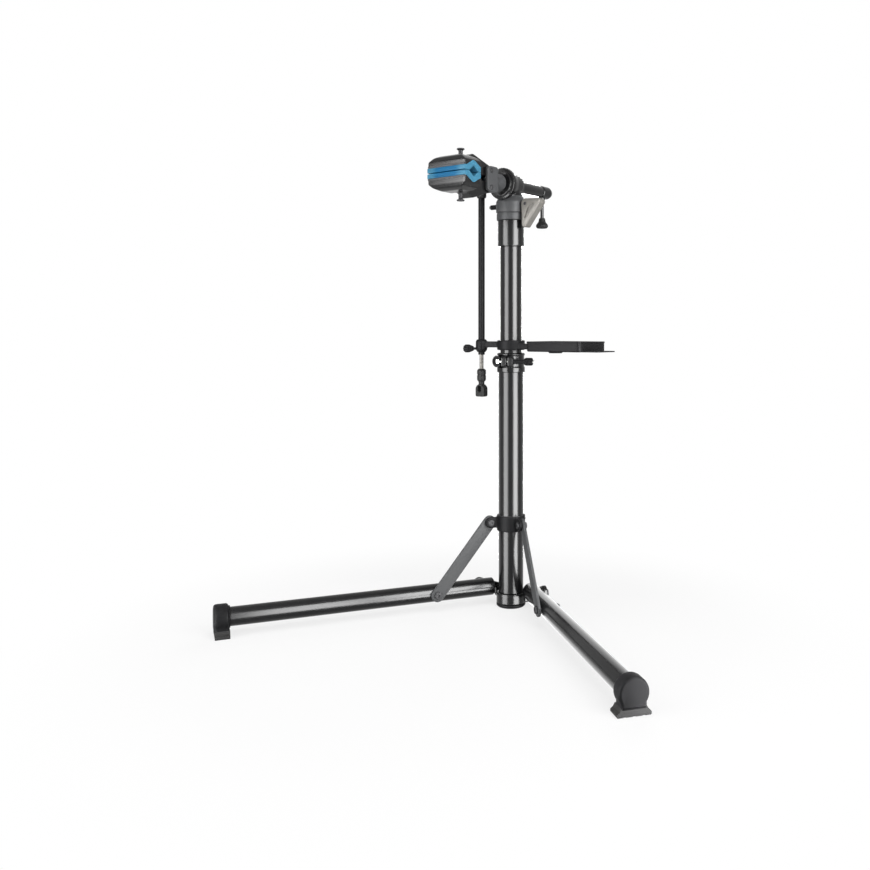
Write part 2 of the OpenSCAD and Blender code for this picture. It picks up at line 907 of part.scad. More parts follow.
module clamp_body() {
    color(grey) difference() {
        union() {
            translate([-yoke_out, -yoke_front, arm_z - yoke_h]) {
                cube([2 * yoke_out, yoke_front - yoke_rear, 2 * yoke_h]);
            }
            bar_along_y(neck_r, -yoke_rear, -disc_step, 0, arm_z);
        }
        translate([-yoke_in, -yoke_front - over, arm_z - yoke_h - over]) {
            cube([2 * yoke_in, yoke_front - yoke_wall + over, 2 * (yoke_h + over)]);
        }
        translate([-wedge_half - gap, -yoke_wall - over, arm_z - wedge_top - gap]) {
            cube([2 * (wedge_half + gap), yoke_wall + over - pocket_rear, 2 * (wedge_top + gap)]);
        }
        bar_along_y(arm_r, -arm_front, 0, 0, arm_z);
        bar_along_y(screw_r + gap, -pocket_rear - over, 0, 0, arm_z);
        for (s = [-1, 1]) bar_along_x(jaw_pin_r, -jaw_half_w, jaw_half_w, -jaw_pin_y, arm_z + s * jaw_pin_z);
    }
}

module jaw_pins() {
    color(silver) for (s = [-1, 1]) {
        bar_along_x(jaw_pin_r, -yoke_out, yoke_out, -jaw_pin_y, arm_z + s * jaw_pin_z);
        bar_along_x(jaw_pin_r + 2, yoke_out, yoke_out + pin_head_out, -jaw_pin_y, arm_z + s * jaw_pin_z);
        bar_along_x(jaw_pin_r + 2, -yoke_out - pin_head_out, -yoke_out, -jaw_pin_y, arm_z + s * jaw_pin_z);
    }
}

module tail_bush() {
    color(grey) arm_ring(arm_in, screw_r + run, arm_rear - tail_bush_len, arm_rear);
}

module drive_screw() {
    color(silver) bar_along_y(screw_r, -screw_front, screw_rear, 0, arm_z);
}

module crank_arm() {
    color(black) difference() {
        union() {
            translate([0, 0, arm_z]) rotate([-90, 0, 0]) rotate_extrude() polygon([
                [0, hub_front], [hub_r - hub_round, hub_front], [hub_r, hub_front + hub_round],
                [hub_r, hub_rear - hub_taper], [hub_r - hub_tip, hub_rear - hub_tip],
                [hub_r - 2 * hub_tip - hub_round, hub_rear], [0, hub_rear]
            ]);
            translate([0, stem_y, arm_z - stem_flare_low]) {
                cylinder(r1 = stem_r, r2 = stem_flare_r, h = stem_flare_h);
            }
            translate([0, stem_y, arm_z - knob_top - knob_bore]) cylinder(r = stem_r, h = knob_top);
        }
        bar_along_y(screw_r, 0, screw_rear, 0, arm_z);
    }
}

module crank_knob() {
    color(rubber) translate([0, stem_y, arm_z - knob_low]) difference() {
        rotate_extrude() polygon([
            [0, 0], [knob_r - knob_edge, 0], [knob_r, knob_edge], [knob_r, knob_side],
            [knob_r - 2 * knob_edge, knob_waist],
            [stem_r + knob_edge, knob_low - knob_top], [0, knob_low - knob_top]
        ]);
        translate([0, 0, knob_low - knob_top - knob_bore]) cylinder(r = stem_r, h = knob_bore + over);
    }
}

module draw_wedge() {
    color(grey) difference() {
        translate([0, 0, arm_z]) slab_yz([
            [-wedge_tip, -wedge_low], [-wedge_full, -wedge_top], [-wedge_rear, -wedge_top],
            [-wedge_rear, wedge_top], [-wedge_full, wedge_top], [-wedge_tip, wedge_low]
        ], -wedge_half, wedge_half);
        bar_along_y(screw_r + run, -wedge_tip - over, -wedge_rear + over, 0, arm_z);
    }
}

// one jaw above the parting plane, which is Z zero here: a narrow arm with a wide pad carrier in front
module jaw_shell() {
    outline = [
        [over - jaw_front, pad_lip], [over - jaw_front, pad_lip + nose_h],
        [nose_len - jaw_front, jaw_h - brow_drop], [brow_len - jaw_front, jaw_h],
        [-jaw_back + over, jaw_h], [-arm_peak_y, arm_peak],
        [-jaw_pin_y - jaw_pin_r, jaw_pin_z + heel_h], [-jaw_pin_y + 10, jaw_pin_z + 9],
        [-tail_y - 2, jaw_pin_z + 4], [-tail_y, tail_z], [-tail_y - 10, tail_z - 3.5],
        [-jaw_pin_y - jaw_pin_r, arm_low + 2], [-jaw_back + 5, arm_low], [-jaw_back, pad_lip],
        [-channel_y + pad_flat, pad_v], [-channel_y - pad_flat, pad_v], [-channel_y - pad_in, pad_lip]
    ];
    difference() {
        union() {
            slab_yz(outline, -arm_half, arm_half);
            intersection() {
                slab_yz(outline, -jaw_half_w, jaw_half_w);
                slab_xz(-jaw_front, -jaw_back + jaw_lap) polygon([
                    [-jaw_half_w, 0], [jaw_half_w, 0], [jaw_half_w, pad_v + over],
                    [jaw_half_w - shoulder_w, jaw_h - shoulder_drop], [jaw_half_w - crown_w, jaw_h + over],
                    [crown_w - jaw_half_w, jaw_h + over], [shoulder_w - jaw_half_w, jaw_h - shoulder_drop],
                    [-jaw_half_w, pad_v + over]
                ]);
            }
        }
        bar_along_x(jaw_pin_r + run, -jaw_half_w, jaw_half_w, -jaw_pin_y, jaw_pin_z);
        translate([0, -pad_screw_y, 0]) cylinder(r = pad_screw_r, h = jaw_h + over);
    }
}

module jaw_pad() {
    difference() {
        slab_yz([
            [-jaw_front, pad_mouth], [-jaw_front, pad_lip], [-channel_y - pad_in, pad_lip],
            [-channel_y - pad_flat, pad_v], [-channel_y + pad_flat, pad_v],
            [-jaw_back, pad_lip], [-jaw_back, parting], [-channel_y + groove_w, parting],
            [-channel_y, groove_h], [-channel_y - groove_w, parting], [mouth_len - jaw_front, parting]
        ], -jaw_half_w - pad_over, jaw_half_w + pad_over);
        translate([0, -pad_screw_y, 0]) cylinder(r = pad_screw_r, h = jaw_h);
    }
}

module jaw_screw() {
    translate([0, -pad_screw_y, 0]) rotate_extrude() polygon([
        [0, pad_screw_low], [pad_screw_r, pad_screw_low], [pad_screw_r, jaw_h], [pad_neck_r, jaw_h],
        [pad_neck_r, jaw_h + pad_neck_h], [pad_flange_r, jaw_h + pad_neck_h + over],
        [pad_flange_r, jaw_h + pad_neck_h + pad_flange_t], [0, jaw_h + pad_neck_h + pad_flange_t]
    ]);
}

module upper_jaw() {
    color(black) translate([0, 0, arm_z]) jaw_shell();
}

module upper_pad() {
    color(blue) translate([0, 0, arm_z]) jaw_pad();
}

module upper_pad_screw() {
    color(silver) translate([0, 0, arm_z]) jaw_screw();
}

module lower_jaw() {
    color(black) translate([0, 0, arm_z]) mirror([0, 0, 1]) jaw_shell();
}

module lower_pad() {
    color(blue) translate([0, 0, arm_z]) mirror([0, 0, 1]) jaw_pad();
}

module lower_pad_screw() {
    color(silver) translate([0, 0, arm_z]) mirror([0, 0, 1]) jaw_screw();
}

// rectangle with round corners
module soft_rectangle(w, d, r) {
    translate([r, -d / 2]) square([w - 2 * r, d]);
    translate([0, -d / 2 + r]) square([w, d - 2 * r]);
    for (x = [r, w - r]) for (y = [-d / 2 + r, d / 2 - r]) translate([x, y]) circle(r = r);
}

module tray_ring() {
    color(black) difference() {
        union() {
            translate([0, 0, ring_low]) cylinder(r = ring_r, h = ring_high - ring_low);
            translate([0, -tray_arm_w / 2, tray_arm_low]) cube([tray_x, tray_arm_w, tray_arm_h]);
            rotate([0, 0, bar_turn]) translate([0, -bar_arm_w / 2, bar_arm_low]) {
                cube([bar_reach, bar_arm_w, bar_arm_h]);
            }
            translate([-bar_x, -bar_y, clip_low]) cylinder(r = clip_r, h = clip_high - clip_low);
        }
        translate([0, 0, tray_z]) cylinder(r = upper_r + run, h = 2 * ring_r);
        translate([-bar_x, -bar_y, clip_low - over]) cylinder(r = bar_r, h = 2 * ring_r);
        rotate([0, 0, bar_turn]) {
            bar_along_x(clip_screw_r + run, bar_reach, bar_reach + clip_r + over, 0, clip_screw_z);
        }
    }
}

module tray_dish() {
    color(black) translate([tray_x, 0, tray_z]) difference() {
        union() {
            linear_extrude(tray_h) soft_rectangle(tray_len, tray_w, tray_corner);
            linear_extrude(tray_floor) translate([tray_len - tray_lip_len, 0]) {
                soft_rectangle(2 * tray_lip_len, tray_lip_w, tray_corner);
            }
            translate([tray_boss_x, 0, -tray_boss_h]) cylinder(r = tray_boss_r, h = tray_boss_h + over);
        }
        translate([tray_floor, 0, tray_floor]) linear_extrude(tray_h) {
            soft_rectangle(tray_len - 2 * tray_floor, tray_w - 2 * tray_floor, tray_corner - tray_floor);
        }
    }
}

module clip_screw() {
    color(black) rotate([0, 0, bar_turn]) translate([bar_reach + bar_r + gap, 0, clip_screw_z]) {
        rotate([0, 90, 0]) rotate_extrude() polygon([
            [0, 0], [clip_screw_r, 0], [clip_screw_r, clip_screw_len],
            [clip_knob_neck, clip_screw_len + 2 * over], [clip_knob_r - over, clip_screw_len + 8 * over],
            [clip_knob_r, clip_screw_len + clip_knob_len / 2],
            [clip_knob_r, clip_screw_len + clip_knob_len - 3 * over],
            [clip_knob_r - 2 * over, clip_screw_len + clip_knob_len], [0, clip_screw_len + clip_knob_len]
        ]);
    }
}

module bar_tube() {
    color(black) translate([-bar_x, -bar_y, 0]) ring(bar_r, bar_in, bar_low, bar_top);
}

module bar_cap() {
    color(rubber) translate([-bar_x, -bar_y, bar_top - cap_low]) rotate_extrude() polygon([
        [bar_r, 0], [bar_r + cap_lip, 0], [cap_r, cap_round], [cap_r, cap_low + cap_lip],
        [bar_r, cap_low + cap_high - cap_lip], [0, cap_low + cap_high], [0, cap_low], [bar_r, cap_low]
    ]);
}

module bar_rod() {
    color(silver) translate([-bar_x, -bar_y, rod_low]) cylinder(r = bar_in - run, h = rod_len);
}

// loop below the rod: a round collar, a neck and an eye for a strap
module bar_cradle() {
    color(rubber) translate([-bar_x, -bar_y, cradle_top]) mirror([0, 0, 1]) difference() {
        union() {
            rotate_extrude() polygon([
                [0, 0], [cradle_r - cradle_round, 0], [cradle_r, cradle_round],
                [cradle_r, cradle_blob - cradle_round], [cradle_neck_r, cradle_blob],
                [cradle_neck_r, loop_low - loop_r - over], [0, loop_low - loop_r - over]
            ]);
            slab_xz(-cradle_half, cradle_half) {
                translate([0, cradle_loop]) circle(r = cradle_w);
                translate([-cradle_w, cradle_loop]) {
                    square([2 * cradle_w, cradle_end - cradle_loop - cradle_round]);
                }
                translate([cradle_round - cradle_w, cradle_loop]) {
                    square([2 * (cradle_w - cradle_round), cradle_end - cradle_loop]);
                }
            }
        }
        translate([0, 0, -over]) cylinder(r = bar_in - run, h = cradle_top - rod_low + over);
        slab_xz(-cradle_w, cradle_w) {
            translate([0, loop_low]) circle(r = loop_r);
            translate([0, loop_high]) circle(r = loop_r);
            translate([-loop_r, loop_low]) square([2 * loop_r, loop_high - loop_low]);
        }
    }
}

lower_tube();
post_foot();
leg_hub();
leg_pivot_bolts();
height_collar();
height_bush();
height_skewer();
height_nut();
height_pin();
height_lever();
brace_collar();
collar_liner();
brace_pins();
collar_knob();
left_leg_tube();
left_leg_root();
left_foot_cap();
left_foot_sole();
left_brace_bolt();
right_leg_tube();
right_leg_root();
right_foot_cap();
right_foot_sole();
right_brace_bolt();
left_brace();
left_brace_stud();
right_brace();
right_brace_stud();
upper_tube();
guide_plug();
head_casting();
barrel_bushes();
socket_screws();
lock_skewer();
lock_nut();
lock_pin();
lock_lever();
arm_tube();
turn_disc();
rear_ring();
clamp_body();
jaw_pins();
tail_bush();
drive_screw();
crank_arm();
crank_knob();
draw_wedge();
upper_jaw();
upper_pad();
upper_pad_screw();
lower_jaw();
lower_pad();
lower_pad_screw();
tray_ring();
tray_dish();
clip_screw();
bar_tube();
bar_cap();
bar_rod();
bar_cradle();
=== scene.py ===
"""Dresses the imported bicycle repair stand: modelled skins, finishes, studio and camera.

Shapes are worked out in millimetres, in the frame's own axes, and turned into metres when a piece is made. An
outline is a list of (x, y, fillet) points, and a turned profile a list of (radius, height, fillet) points.
"""

import json
import math
from typing import NamedTuple

import bmesh
import bpy
from bpy.props import FloatProperty, FloatVectorProperty, IntProperty, PointerProperty
from mathutils import Matrix, Vector


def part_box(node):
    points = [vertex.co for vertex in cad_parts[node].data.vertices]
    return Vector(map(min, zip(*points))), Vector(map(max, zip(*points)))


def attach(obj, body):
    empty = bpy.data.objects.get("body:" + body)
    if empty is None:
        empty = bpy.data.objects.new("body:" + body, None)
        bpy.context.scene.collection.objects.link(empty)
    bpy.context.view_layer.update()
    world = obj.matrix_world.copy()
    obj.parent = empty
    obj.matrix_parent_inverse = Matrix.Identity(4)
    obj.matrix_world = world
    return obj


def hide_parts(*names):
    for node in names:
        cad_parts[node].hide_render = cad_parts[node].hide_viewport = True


bl_info = {
    "name": "Bicycle Repair Stand",
    "version": (1, 0, 0),
    "blender": (4, 5, 0),
    "location": "View3D > Sidebar > Repair Stand",
    "description": "Builds the skins, finishes and studio of a folding repair stand around its frame",
    "category": "Add Mesh",
}

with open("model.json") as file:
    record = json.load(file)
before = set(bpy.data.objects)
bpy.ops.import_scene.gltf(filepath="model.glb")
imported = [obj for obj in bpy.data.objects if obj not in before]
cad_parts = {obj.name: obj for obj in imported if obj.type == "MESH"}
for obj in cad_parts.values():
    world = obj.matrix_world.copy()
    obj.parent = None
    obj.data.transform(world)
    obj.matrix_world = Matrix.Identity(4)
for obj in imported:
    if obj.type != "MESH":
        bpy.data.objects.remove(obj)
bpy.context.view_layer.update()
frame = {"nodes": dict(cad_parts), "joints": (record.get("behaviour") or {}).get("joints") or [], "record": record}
RECORD = frame["record"]
JOINTS = {joint["name"]: joint for joint in frame["joints"]}
MOUNTS = {mount["name"]: mount for mount in RECORD["mounts"]}
BODY_OF = {node: body for body, nodes in RECORD["behaviour"]["bodies"].items() for node in nodes}
SLOT_OF = {entry["node"]: entry["material_slot"] for entry in RECORD["subparts"]}

TO_MM = 1000.0
TO_METRES = 0.001
SIDES = {"left": -1, "right": 1}
UP = Vector((0, 0, 1))
ALONG_X = (1, 0, 0)
ALONG_Y = (0, 1, 0)


# Reading the frame, in millimetres

def span(node):
    """Lowest and highest corner of a node."""
    low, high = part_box(node)
    return low * TO_MM, high * TO_MM


def middle(node):
    """Middle of a node's box."""
    low, high = span(node)
    return (low + high) / 2


def half_span(node, axis=0):
    """Half of a node's box along an axis, which is the radius of a round node."""
    low, high = span(node)
    return (high[axis] - low[axis]) / 2


def reach(node, origin, direction):
    """Nearest and farthest distance of a node from origin along direction."""
    steps = [(v.co * TO_MM - origin).dot(direction) for v in frame["nodes"][node].data.vertices]
    return min(steps), max(steps)


def hinge(joint):
    """Point on a joint's axis, and the axis."""
    row = JOINTS[joint]
    return Vector(row["pos_m"]) * TO_MM, Vector(row["axis"])


def mount(name):
    """Place of a mount."""
    return Vector(MOUNTS[name]["pos_m"]) * TO_MM


# Placing

def along(origin, axis, across=None):
    """Matrix at origin whose Z runs along axis, and whose X runs as near to across as it can."""
    z = Vector(axis).normalized()
    x = Vector(across) if across is not None else z.orthogonal()
    y = z.cross(x).normalized()
    x = y.cross(z)
    matrix = Matrix((x, y, z)).transposed().to_4x4()
    matrix.translation = Vector(origin)
    return matrix


def facing_x(x, y, z):
    """Matrix at a point whose Z runs along X."""
    return along((x, y, z), ALONG_X, UP)


def facing_y(x, y, z):
    """Matrix at a point whose Z runs along Y."""
    return along((x, y, z), ALONG_Y, ALONG_X)


def drawn_in_xz(x=0, y=0, z=0, lift=1):
    """Matrix for an outline drawn in X and Z that is thick along Y; a lift of -1 turns it upside down."""
    return Matrix(((1, 0, 0, x), (0, 0, 1, y), (0, lift, 0, z), (0, 0, 0, 1)))


def drawn_in_yz(z=0, lift=1):
    """Matrix for an outline drawn in Y and Z that is thick along X; a lift of -1 turns it upside down."""
    return Matrix(((0, 0, 1, 0), (1, 0, 0, 0), (0, lift, 0, z), (0, 0, 0, 1)))


# Outlines and mesh makers, in millimetres

LARGE_ROUND = 96
LEG_ROUND = 80
ROUND = 72
SMALL_ROUND = 48
TINY_ROUND = 40
FILLET_STEPS = 5
FILLET_SHARE = 0.49
ARC_STEPS = 24
EDGE_STEPS = 4
ON_AXIS = 1e-6
SAME_POINT = 1e-4
NO_TURN = 1e-9
SHARPEST_TURN = 0.5
CUT_PAST = 5


def softened(points, closed, steps=FILLET_STEPS):
    """An outline's plain points, with each corner turned into an arc of its fillet."""
    made = []
    last = len(points) - 1
    for index, (x, y, radius) in enumerate(points):
        corner = Vector((x, y))
        if radius <= 0 or (not closed and index in (0, last)):
            made.append(corner)
            continue
        back = Vector(points[index - 1][:2]) - corner
        ahead = Vector(points[(index + 1) % len(points)][:2]) - corner
        half = back.angle(ahead) / 2
        run = min(radius / math.tan(half), FILLET_SHARE * back.length, FILLET_SHARE * ahead.length)
        bisector = (back.normalized() + ahead.normalized()).normalized()
        centre = corner + bisector * (run / math.cos(half))
        first = corner + back.normalized() * run - centre
        final = corner + ahead.normalized() * run - centre
        start = math.atan2(first.y, first.x)
        sweep = math.atan2(first.x * final.y - first.y * final.x, first.dot(final))
        for step in range(steps + 1):
            angle = start + sweep * step / steps
            made.append(centre + first.length * Vector((math.cos(angle), math.sin(angle))))
    return made


def arc(centre, radius, start, end, steps=ARC_STEPS):
    """Points of an outline on an arc, in degrees."""
    angles = [math.radians(start + (end - start) * step / steps) for step in range(steps + 1)]
    return [(centre[0] + radius * math.cos(a), centre[1] + radius * math.sin(a), 0) for a in angles]


def hexagon(radius, soft):
    """Outline of a six-sided head."""
    angles = [math.radians(degrees) for degrees in range(0, 360, 60)]
    return [(radius * math.cos(a), radius * math.sin(a), soft) for a in angles]


def mirrored(points):
    """An outline from one half of it, with the mirrored half after it."""
    return [*points, *[(-x, y, fillet) for x, y, fillet in reversed(points)]]


def outline_points(outline):
    """A closed outline's softened points, without doubles."""
    points = []
    for point in softened(outline, closed=True):
        if not points or (point - points[-1]).length > SAME_POINT:
            points.append(point)
    if (points[0] - points[-1]).length < SAME_POINT:
        points.pop()
    return points


def inset(points, distance):
    """A closed outline moved inwards by distance."""
    area = sum(a.x * b.y - b.x * a.y for a, b in zip(points, points[1:] + points[:1]))
    turn = 1 if area > 0 else -1
    made = []
    for index, point in enumerate(points):
        before = (point - points[index - 1]).normalized()
        after = (points[(index + 1) % len(points)] - point).normalized()
        side = Vector((-before.y, before.x)) * turn
        normal = Vector((-(before.y + after.y), before.x + after.x)) * turn
        if normal.length < NO_TURN:
            normal = side.copy()
        normal.normalize()
        made.append(point + normal * (distance / max(SHARPEST_TURN, normal.dot(side))))
    return made


def finished(bm, place=None):
    """A mesh from bm, moved by place, with its faces turned outwards."""
    if place is not None:
        bmesh.ops.transform(bm, matrix=place, verts=bm.verts)
    bmesh.ops.recalc_face_normals(bm, faces=bm.faces)
    mesh = bpy.data.meshes.new("solid")
    bm.to_mesh(mesh)
    bm.free()
    return mesh


def loft(loops, place=None):
    """A skin through loops of as many points each, capped at both ends."""
    bm = bmesh.new()
    rows = [[bm.verts.new(point) for point in loop] for loop in loops]
    bm.faces.new(reversed(rows[0]))
    bm.faces.new(rows[-1])
    for lower, upper in zip(rows, rows[1:]):
        for index in range(len(lower)):
            after = (index + 1) % len(lower)
            bm.faces.new((lower[index], lower[after], upper[after], upper[index]))
    return finished(bm, place)


def lathe(profile, place=None, closed=False, steps=ROUND, flutes=0, flute_depth=0.0, flute_from=0.0):
    """A turned skin: a profile swept about Z, with flutes past the radius flute_from."""
    bm = bmesh.new()
    angles = [2 * math.pi * step / steps for step in range(steps)]
    rows = []
    for radius, height in softened(profile, closed):
        if radius < ON_AXIS:
            rows.append([bm.verts.new((0, 0, height))] * steps)
            continue
        depth = flute_depth if radius > flute_from else 0.0
        ring = [(radius - depth * (0.5 - 0.5 * math.cos(flutes * angle)), angle) for angle in angles]
        rows.append([bm.verts.new((r * math.cos(a), r * math.sin(a), height)) for r, a in ring])
    for lower, upper in zip(rows, rows[1:] + rows[:1] if closed else rows[1:]):
        for step in range(steps):
            after = (step + 1) % steps
            corners = dict.fromkeys((lower[step], lower[after], upper[after], upper[step]))
            if len(corners) > 2:
                bm.faces.new(tuple(corners))
    return finished(bm, place)


def pipe(outer, inner, low, high, edge, place=None, steps=ROUND):
    """A tube from low to high about Z, with its rims softened."""
    profile = [(inner, low, edge), (outer, low, edge), (outer, high, edge), (inner, high, edge)]
    return lathe(profile, place, closed=True, steps=steps)


def turned(radius, low, high, edge, place=None, steps=SMALL_ROUND):
    """A solid round bar from low to high about Z, with its rims softened."""
    return lathe([(0, low, 0), (radius, low, edge), (radius, high, edge), (0, high, 0)], place, steps=steps)


def bore(radius, low, high, place=None, steps=LARGE_ROUND):
    """A cutter for a round hole from low to high about Z, which runs past both."""
    return turned(radius, low - CUT_PAST, high + CUT_PAST, 0, place, steps)


def plate(outline, low, high, edge, place=None):
    """A flat skin: an outline from low to high along Z, with its edges rounded."""
    points = outline_points(outline)
    angles = [0.5 * math.pi * step / EDGE_STEPS for step in range(EDGE_STEPS + 1)]
    rim = [(edge * (1 - math.cos(angle)), edge * (1 - math.sin(angle))) for angle in angles]
    levels = [(low + rise, inward) for rise, inward in rim]
    levels += [(high - rise, inward) for rise, inward in reversed(rim)]
    return loft([[Vector((p.x, p.y, z)) for p in inset(points, inward)] for z, inward in levels], place)


def block(low, high, place=None):
    """A box between two corners."""
    corners = [(low[0], low[1]), (high[0], low[1]), (high[0], high[1]), (low[0], high[1])]
    return loft([[Vector((x, y, z)) for x, y in corners] for z in (low[2], high[2])], place)


def placed(mesh, place):
    """A mesh moved by place, right side out where place mirrors it."""
    mesh.transform(place)
    if place.determinant() < 0:
        mesh.flip_normals()
    return mesh


def gather(meshes):
    """Several meshes as one, each still a skin of its own."""
    bm = bmesh.new()
    for mesh in meshes:
        bm.from_mesh(mesh)
        bpy.data.meshes.remove(mesh)
    joined = bpy.data.meshes.new("solid")
    bm.to_mesh(joined)
    bm.free()
    return joined


def evaluated(mesh, add_modifiers):
    """A mesh after the modifiers that add_modifiers puts on an object of it."""
    holder = bpy.data.objects.new("holder", mesh)
    bpy.context.scene.collection.objects.link(holder)
    add_modifiers(holder)
    graph = bpy.context.evaluated_depsgraph_get()
    made = bpy.data.meshes.new_from_object(holder.evaluated_get(graph))
    bpy.data.objects.remove(holder)
    bpy.data.meshes.remove(mesh)
    return made


def cast(meshes, voxel, rounds):
    """Overlapping solids joined into one skin with soft inner corners, as a casting has them."""
    def melt(holder):
        remesh = holder.modifiers.new("melt", "REMESH")
        remesh.mode = "VOXEL"
        remesh.voxel_size = voxel
        smooth = holder.modifiers.new("smooth", "SMOOTH")
        smooth.iterations = rounds
    return evaluated(gather(meshes), melt)


def carved(mesh, tool, operation="DIFFERENCE"):
    """A mesh cut by a tool mesh, or what the two share."""
    cutter = bpy.data.objects.new("cutter", tool)
    bpy.context.scene.collection.objects.link(cutter)

    def cut(holder):
        boolean = holder.modifiers.new("cut", "BOOLEAN")
        boolean.operation = operation
        boolean.solver = "EXACT"
        boolean.object = cutter
    made = evaluated(mesh, cut)
    bpy.data.objects.remove(cutter)
    bpy.data.meshes.remove(tool)
    return made


# Fasteners, standing up from Z zero

HEAD_RIM = 0.18
SOCKET_FLOOR = 0.45
WASHER_WIDE = 1.12
WASHER_TALL = 0.22
HEX_FLOOR = 0.1
HEX_EDGE = 0.09


def screw_head(place, radius, height, key):
    """A round cap head with a six-sided socket."""
    head = lathe([(0, 0, 0), (radius, 0, 0.2), (radius, height, HEAD_RIM * radius), (0, height, 0)],
                 steps=TINY_ROUND)
    tool = plate(hexagon(key, 0), SOCKET_FLOOR * height, height + 1, 0.05)
    return placed(carved(head, tool), place)


def hex_head(place, radius, height):
    """A six-sided head or nut with a washer face."""
    wide, thick = WASHER_WIDE * radius, WASHER_TALL * height
    washer = lathe([(0, 0, 0), (wide, 0, 0.2), (wide, thick, 0.3), (0, thick, 0)])
    head = plate(hexagon(radius, 0.6), HEX_FLOOR * height, height, HEX_EDGE * radius)
    return placed(gather([washer, head]), place)


# Pieces in the frame

SMOOTH_ANGLE = math.radians(38)


def detail(name, mesh, body, slot):
    """Makes a piece in metres that rides on a body, with its finish."""
    mesh.transform(Matrix.Scale(TO_METRES, 4))
    mesh.name = name
    mesh.shade_smooth()
    mesh.set_sharp_from_angle(angle=SMOOTH_ANGLE)
    made = bpy.data.objects.new(name, mesh)
    bpy.context.scene.collection.objects.link(made)
    mesh.materials.clear()
    mesh.materials.append(finish(slot))
    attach(made, body)
    return made


def piece(node, mesh, slot=None, name=None):
    """Makes a piece that stands for a node, with the node's body and, unless slot is given, its finish."""
    made = detail(name or node + "_skin", mesh, BODY_OF[node], slot or SLOT_OF[node])
    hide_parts(node)


# Shader nodes

def add(tree, kind, operation=None, values=None):
    """Adds a shader node, with its operation and the plain values of its inputs."""
    node = tree.nodes.new("ShaderNode" + kind)
    if operation:
        node.operation = operation
    for name, value in (values or {}).items():
        node.inputs[name].default_value = value
    return node


def add_group(tree, group, values):
    """Places a node group, with the plain values of its inputs."""
    node = tree.nodes.new("ShaderNodeGroup")
    node.node_tree = group
    for name, value in values.items():
        node.inputs[name].default_value = value
    return node


def add_mix(tree, second, first=None):
    """Adds a mix of two colours; the first one may be linked instead."""
    node = tree.nodes.new("ShaderNodeMix")
    node.data_type = "RGBA"
    node.inputs["B"].default_value = (*second, 1)
    if first is not None:
        node.inputs["A"].default_value = (*first, 1)
    return node


def wire(tree, *wires):
    """Links sockets: each wire is a node and its output, then a node and its input."""
    for source, output, target, entry in wires:
        tree.links.new(source.outputs[output], target.inputs[entry])


def fresh_group(name, inputs, outputs):
    """A new shader node group of plain numbers, with its input and output nodes."""
    group = bpy.data.node_groups.new(name, "ShaderNodeTree")
    for label, default in inputs.items():
        made = group.interface.new_socket(name=label, in_out="INPUT", socket_type="NodeSocketFloat")
        made.default_value = default
    for label in outputs:
        group.interface.new_socket(name=label, in_out="OUTPUT", socket_type="NodeSocketFloat")
    return group, group.nodes.new("NodeGroupInput"), group.nodes.new("NodeGroupOutput")


# Finishes

GRAIN_SCALE = 900.0
GRAIN_DETAIL = 3.0
BLOTCH_SCALE = 14.0
BLOTCH_DETAIL = 4.0
EDGE_SAMPLES = 4
EDGE_REACH = 0.0016
EDGE_FLAT = 0.97
EDGE_SHARP = 0.8
RUB_SCALE = 120.0
RUB_DETAIL = 5.0
DUST_STEEP = 0.35
DUST_SCALE = 45.0
DUST_DETAIL = 6.0
TONE_DARK = 0.85
TONE_LIGHT = 1.15
GRAIN_STEP = 0.0004
# Painted highlight on the pads' outer ends: where it starts and ends, in metres along X from the stand's middle,
# and how far it goes towards the pads' lighter colour
PAINTED_HIGHLIGHT_START = 0.026
PAINTED_HIGHLIGHT_END = 0.046
PAINTED_HIGHLIGHT_MOST = 0.3


def grain_group():
    """Fine grain and slow blotches: a height for bump, and a tone that drifts over the surface."""
    if "surface_grain" in bpy.data.node_groups:
        return bpy.data.node_groups["surface_grain"]
    scales = {"Grain Scale": GRAIN_SCALE, "Blotch Scale": BLOTCH_SCALE}
    group, start, end = fresh_group("surface_grain", scales, ("Height", "Tone"))
    place = add(group, "TexCoord")
    for scale, detail_level, output in (("Grain Scale", GRAIN_DETAIL, "Height"),
                                        ("Blotch Scale", BLOTCH_DETAIL, "Tone")):
        noise = add(group, "TexNoise", values={"Detail": detail_level})
        wire(group, (place, "Object", noise, "Vector"), (start, scale, noise, "Scale"),
             (noise, "Fac", end, output))
    return group


def mask_group(name, add_cause, scale, detail_level):
    """A mask that is bright where add_cause's node says so, in broken patches, times an amount."""
    if name in bpy.data.node_groups:
        return bpy.data.node_groups[name]
    group, start, end = fresh_group(name, {"Amount": 0.0}, ("Mask",))
    cause = add_cause(group)
    place = add(group, "TexCoord")
    patches = add(group, "TexNoise", values={"Scale": scale, "Detail": detail_level})
    both = add(group, "Math", "MULTIPLY")
    amount = add(group, "Math", "MULTIPLY")
    wire(group, (place, "Object", patches, "Vector"), (cause, "Result", both, 0), (patches, "Fac", both, 1),
         (both, "Value", amount, 0), (start, "Amount", amount, 1), (amount, "Value", end, "Mask"))
    return group


def sharp_edges(group):
    """Adds what is bright on the edges, where a bevelled normal leaves the surface's own."""
    shape = add(group, "NewGeometry")
    softer = add(group, "Bevel", values={"Radius": EDGE_REACH})
    softer.samples = EDGE_SAMPLES
    turn = add(group, "VectorMath", "DOT_PRODUCT")
    edge = add(group, "MapRange", values={"From Min": EDGE_FLAT, "From Max": EDGE_SHARP})
    wire(group, (softer, "Normal", turn, 0), (shape, "Normal", turn, 1), (turn, "Value", edge, "Value"))
    return edge


def upward_faces(group):
    """Adds what is bright where the surface faces up."""
    shape = add(group, "NewGeometry")
    parts = add(group, "SeparateXYZ")
    facing = add(group, "MapRange", values={"From Min": DUST_STEEP})
    wire(group, (shape, "Normal", parts, "Vector"), (parts, "Z", facing, "Value"))
    return facing


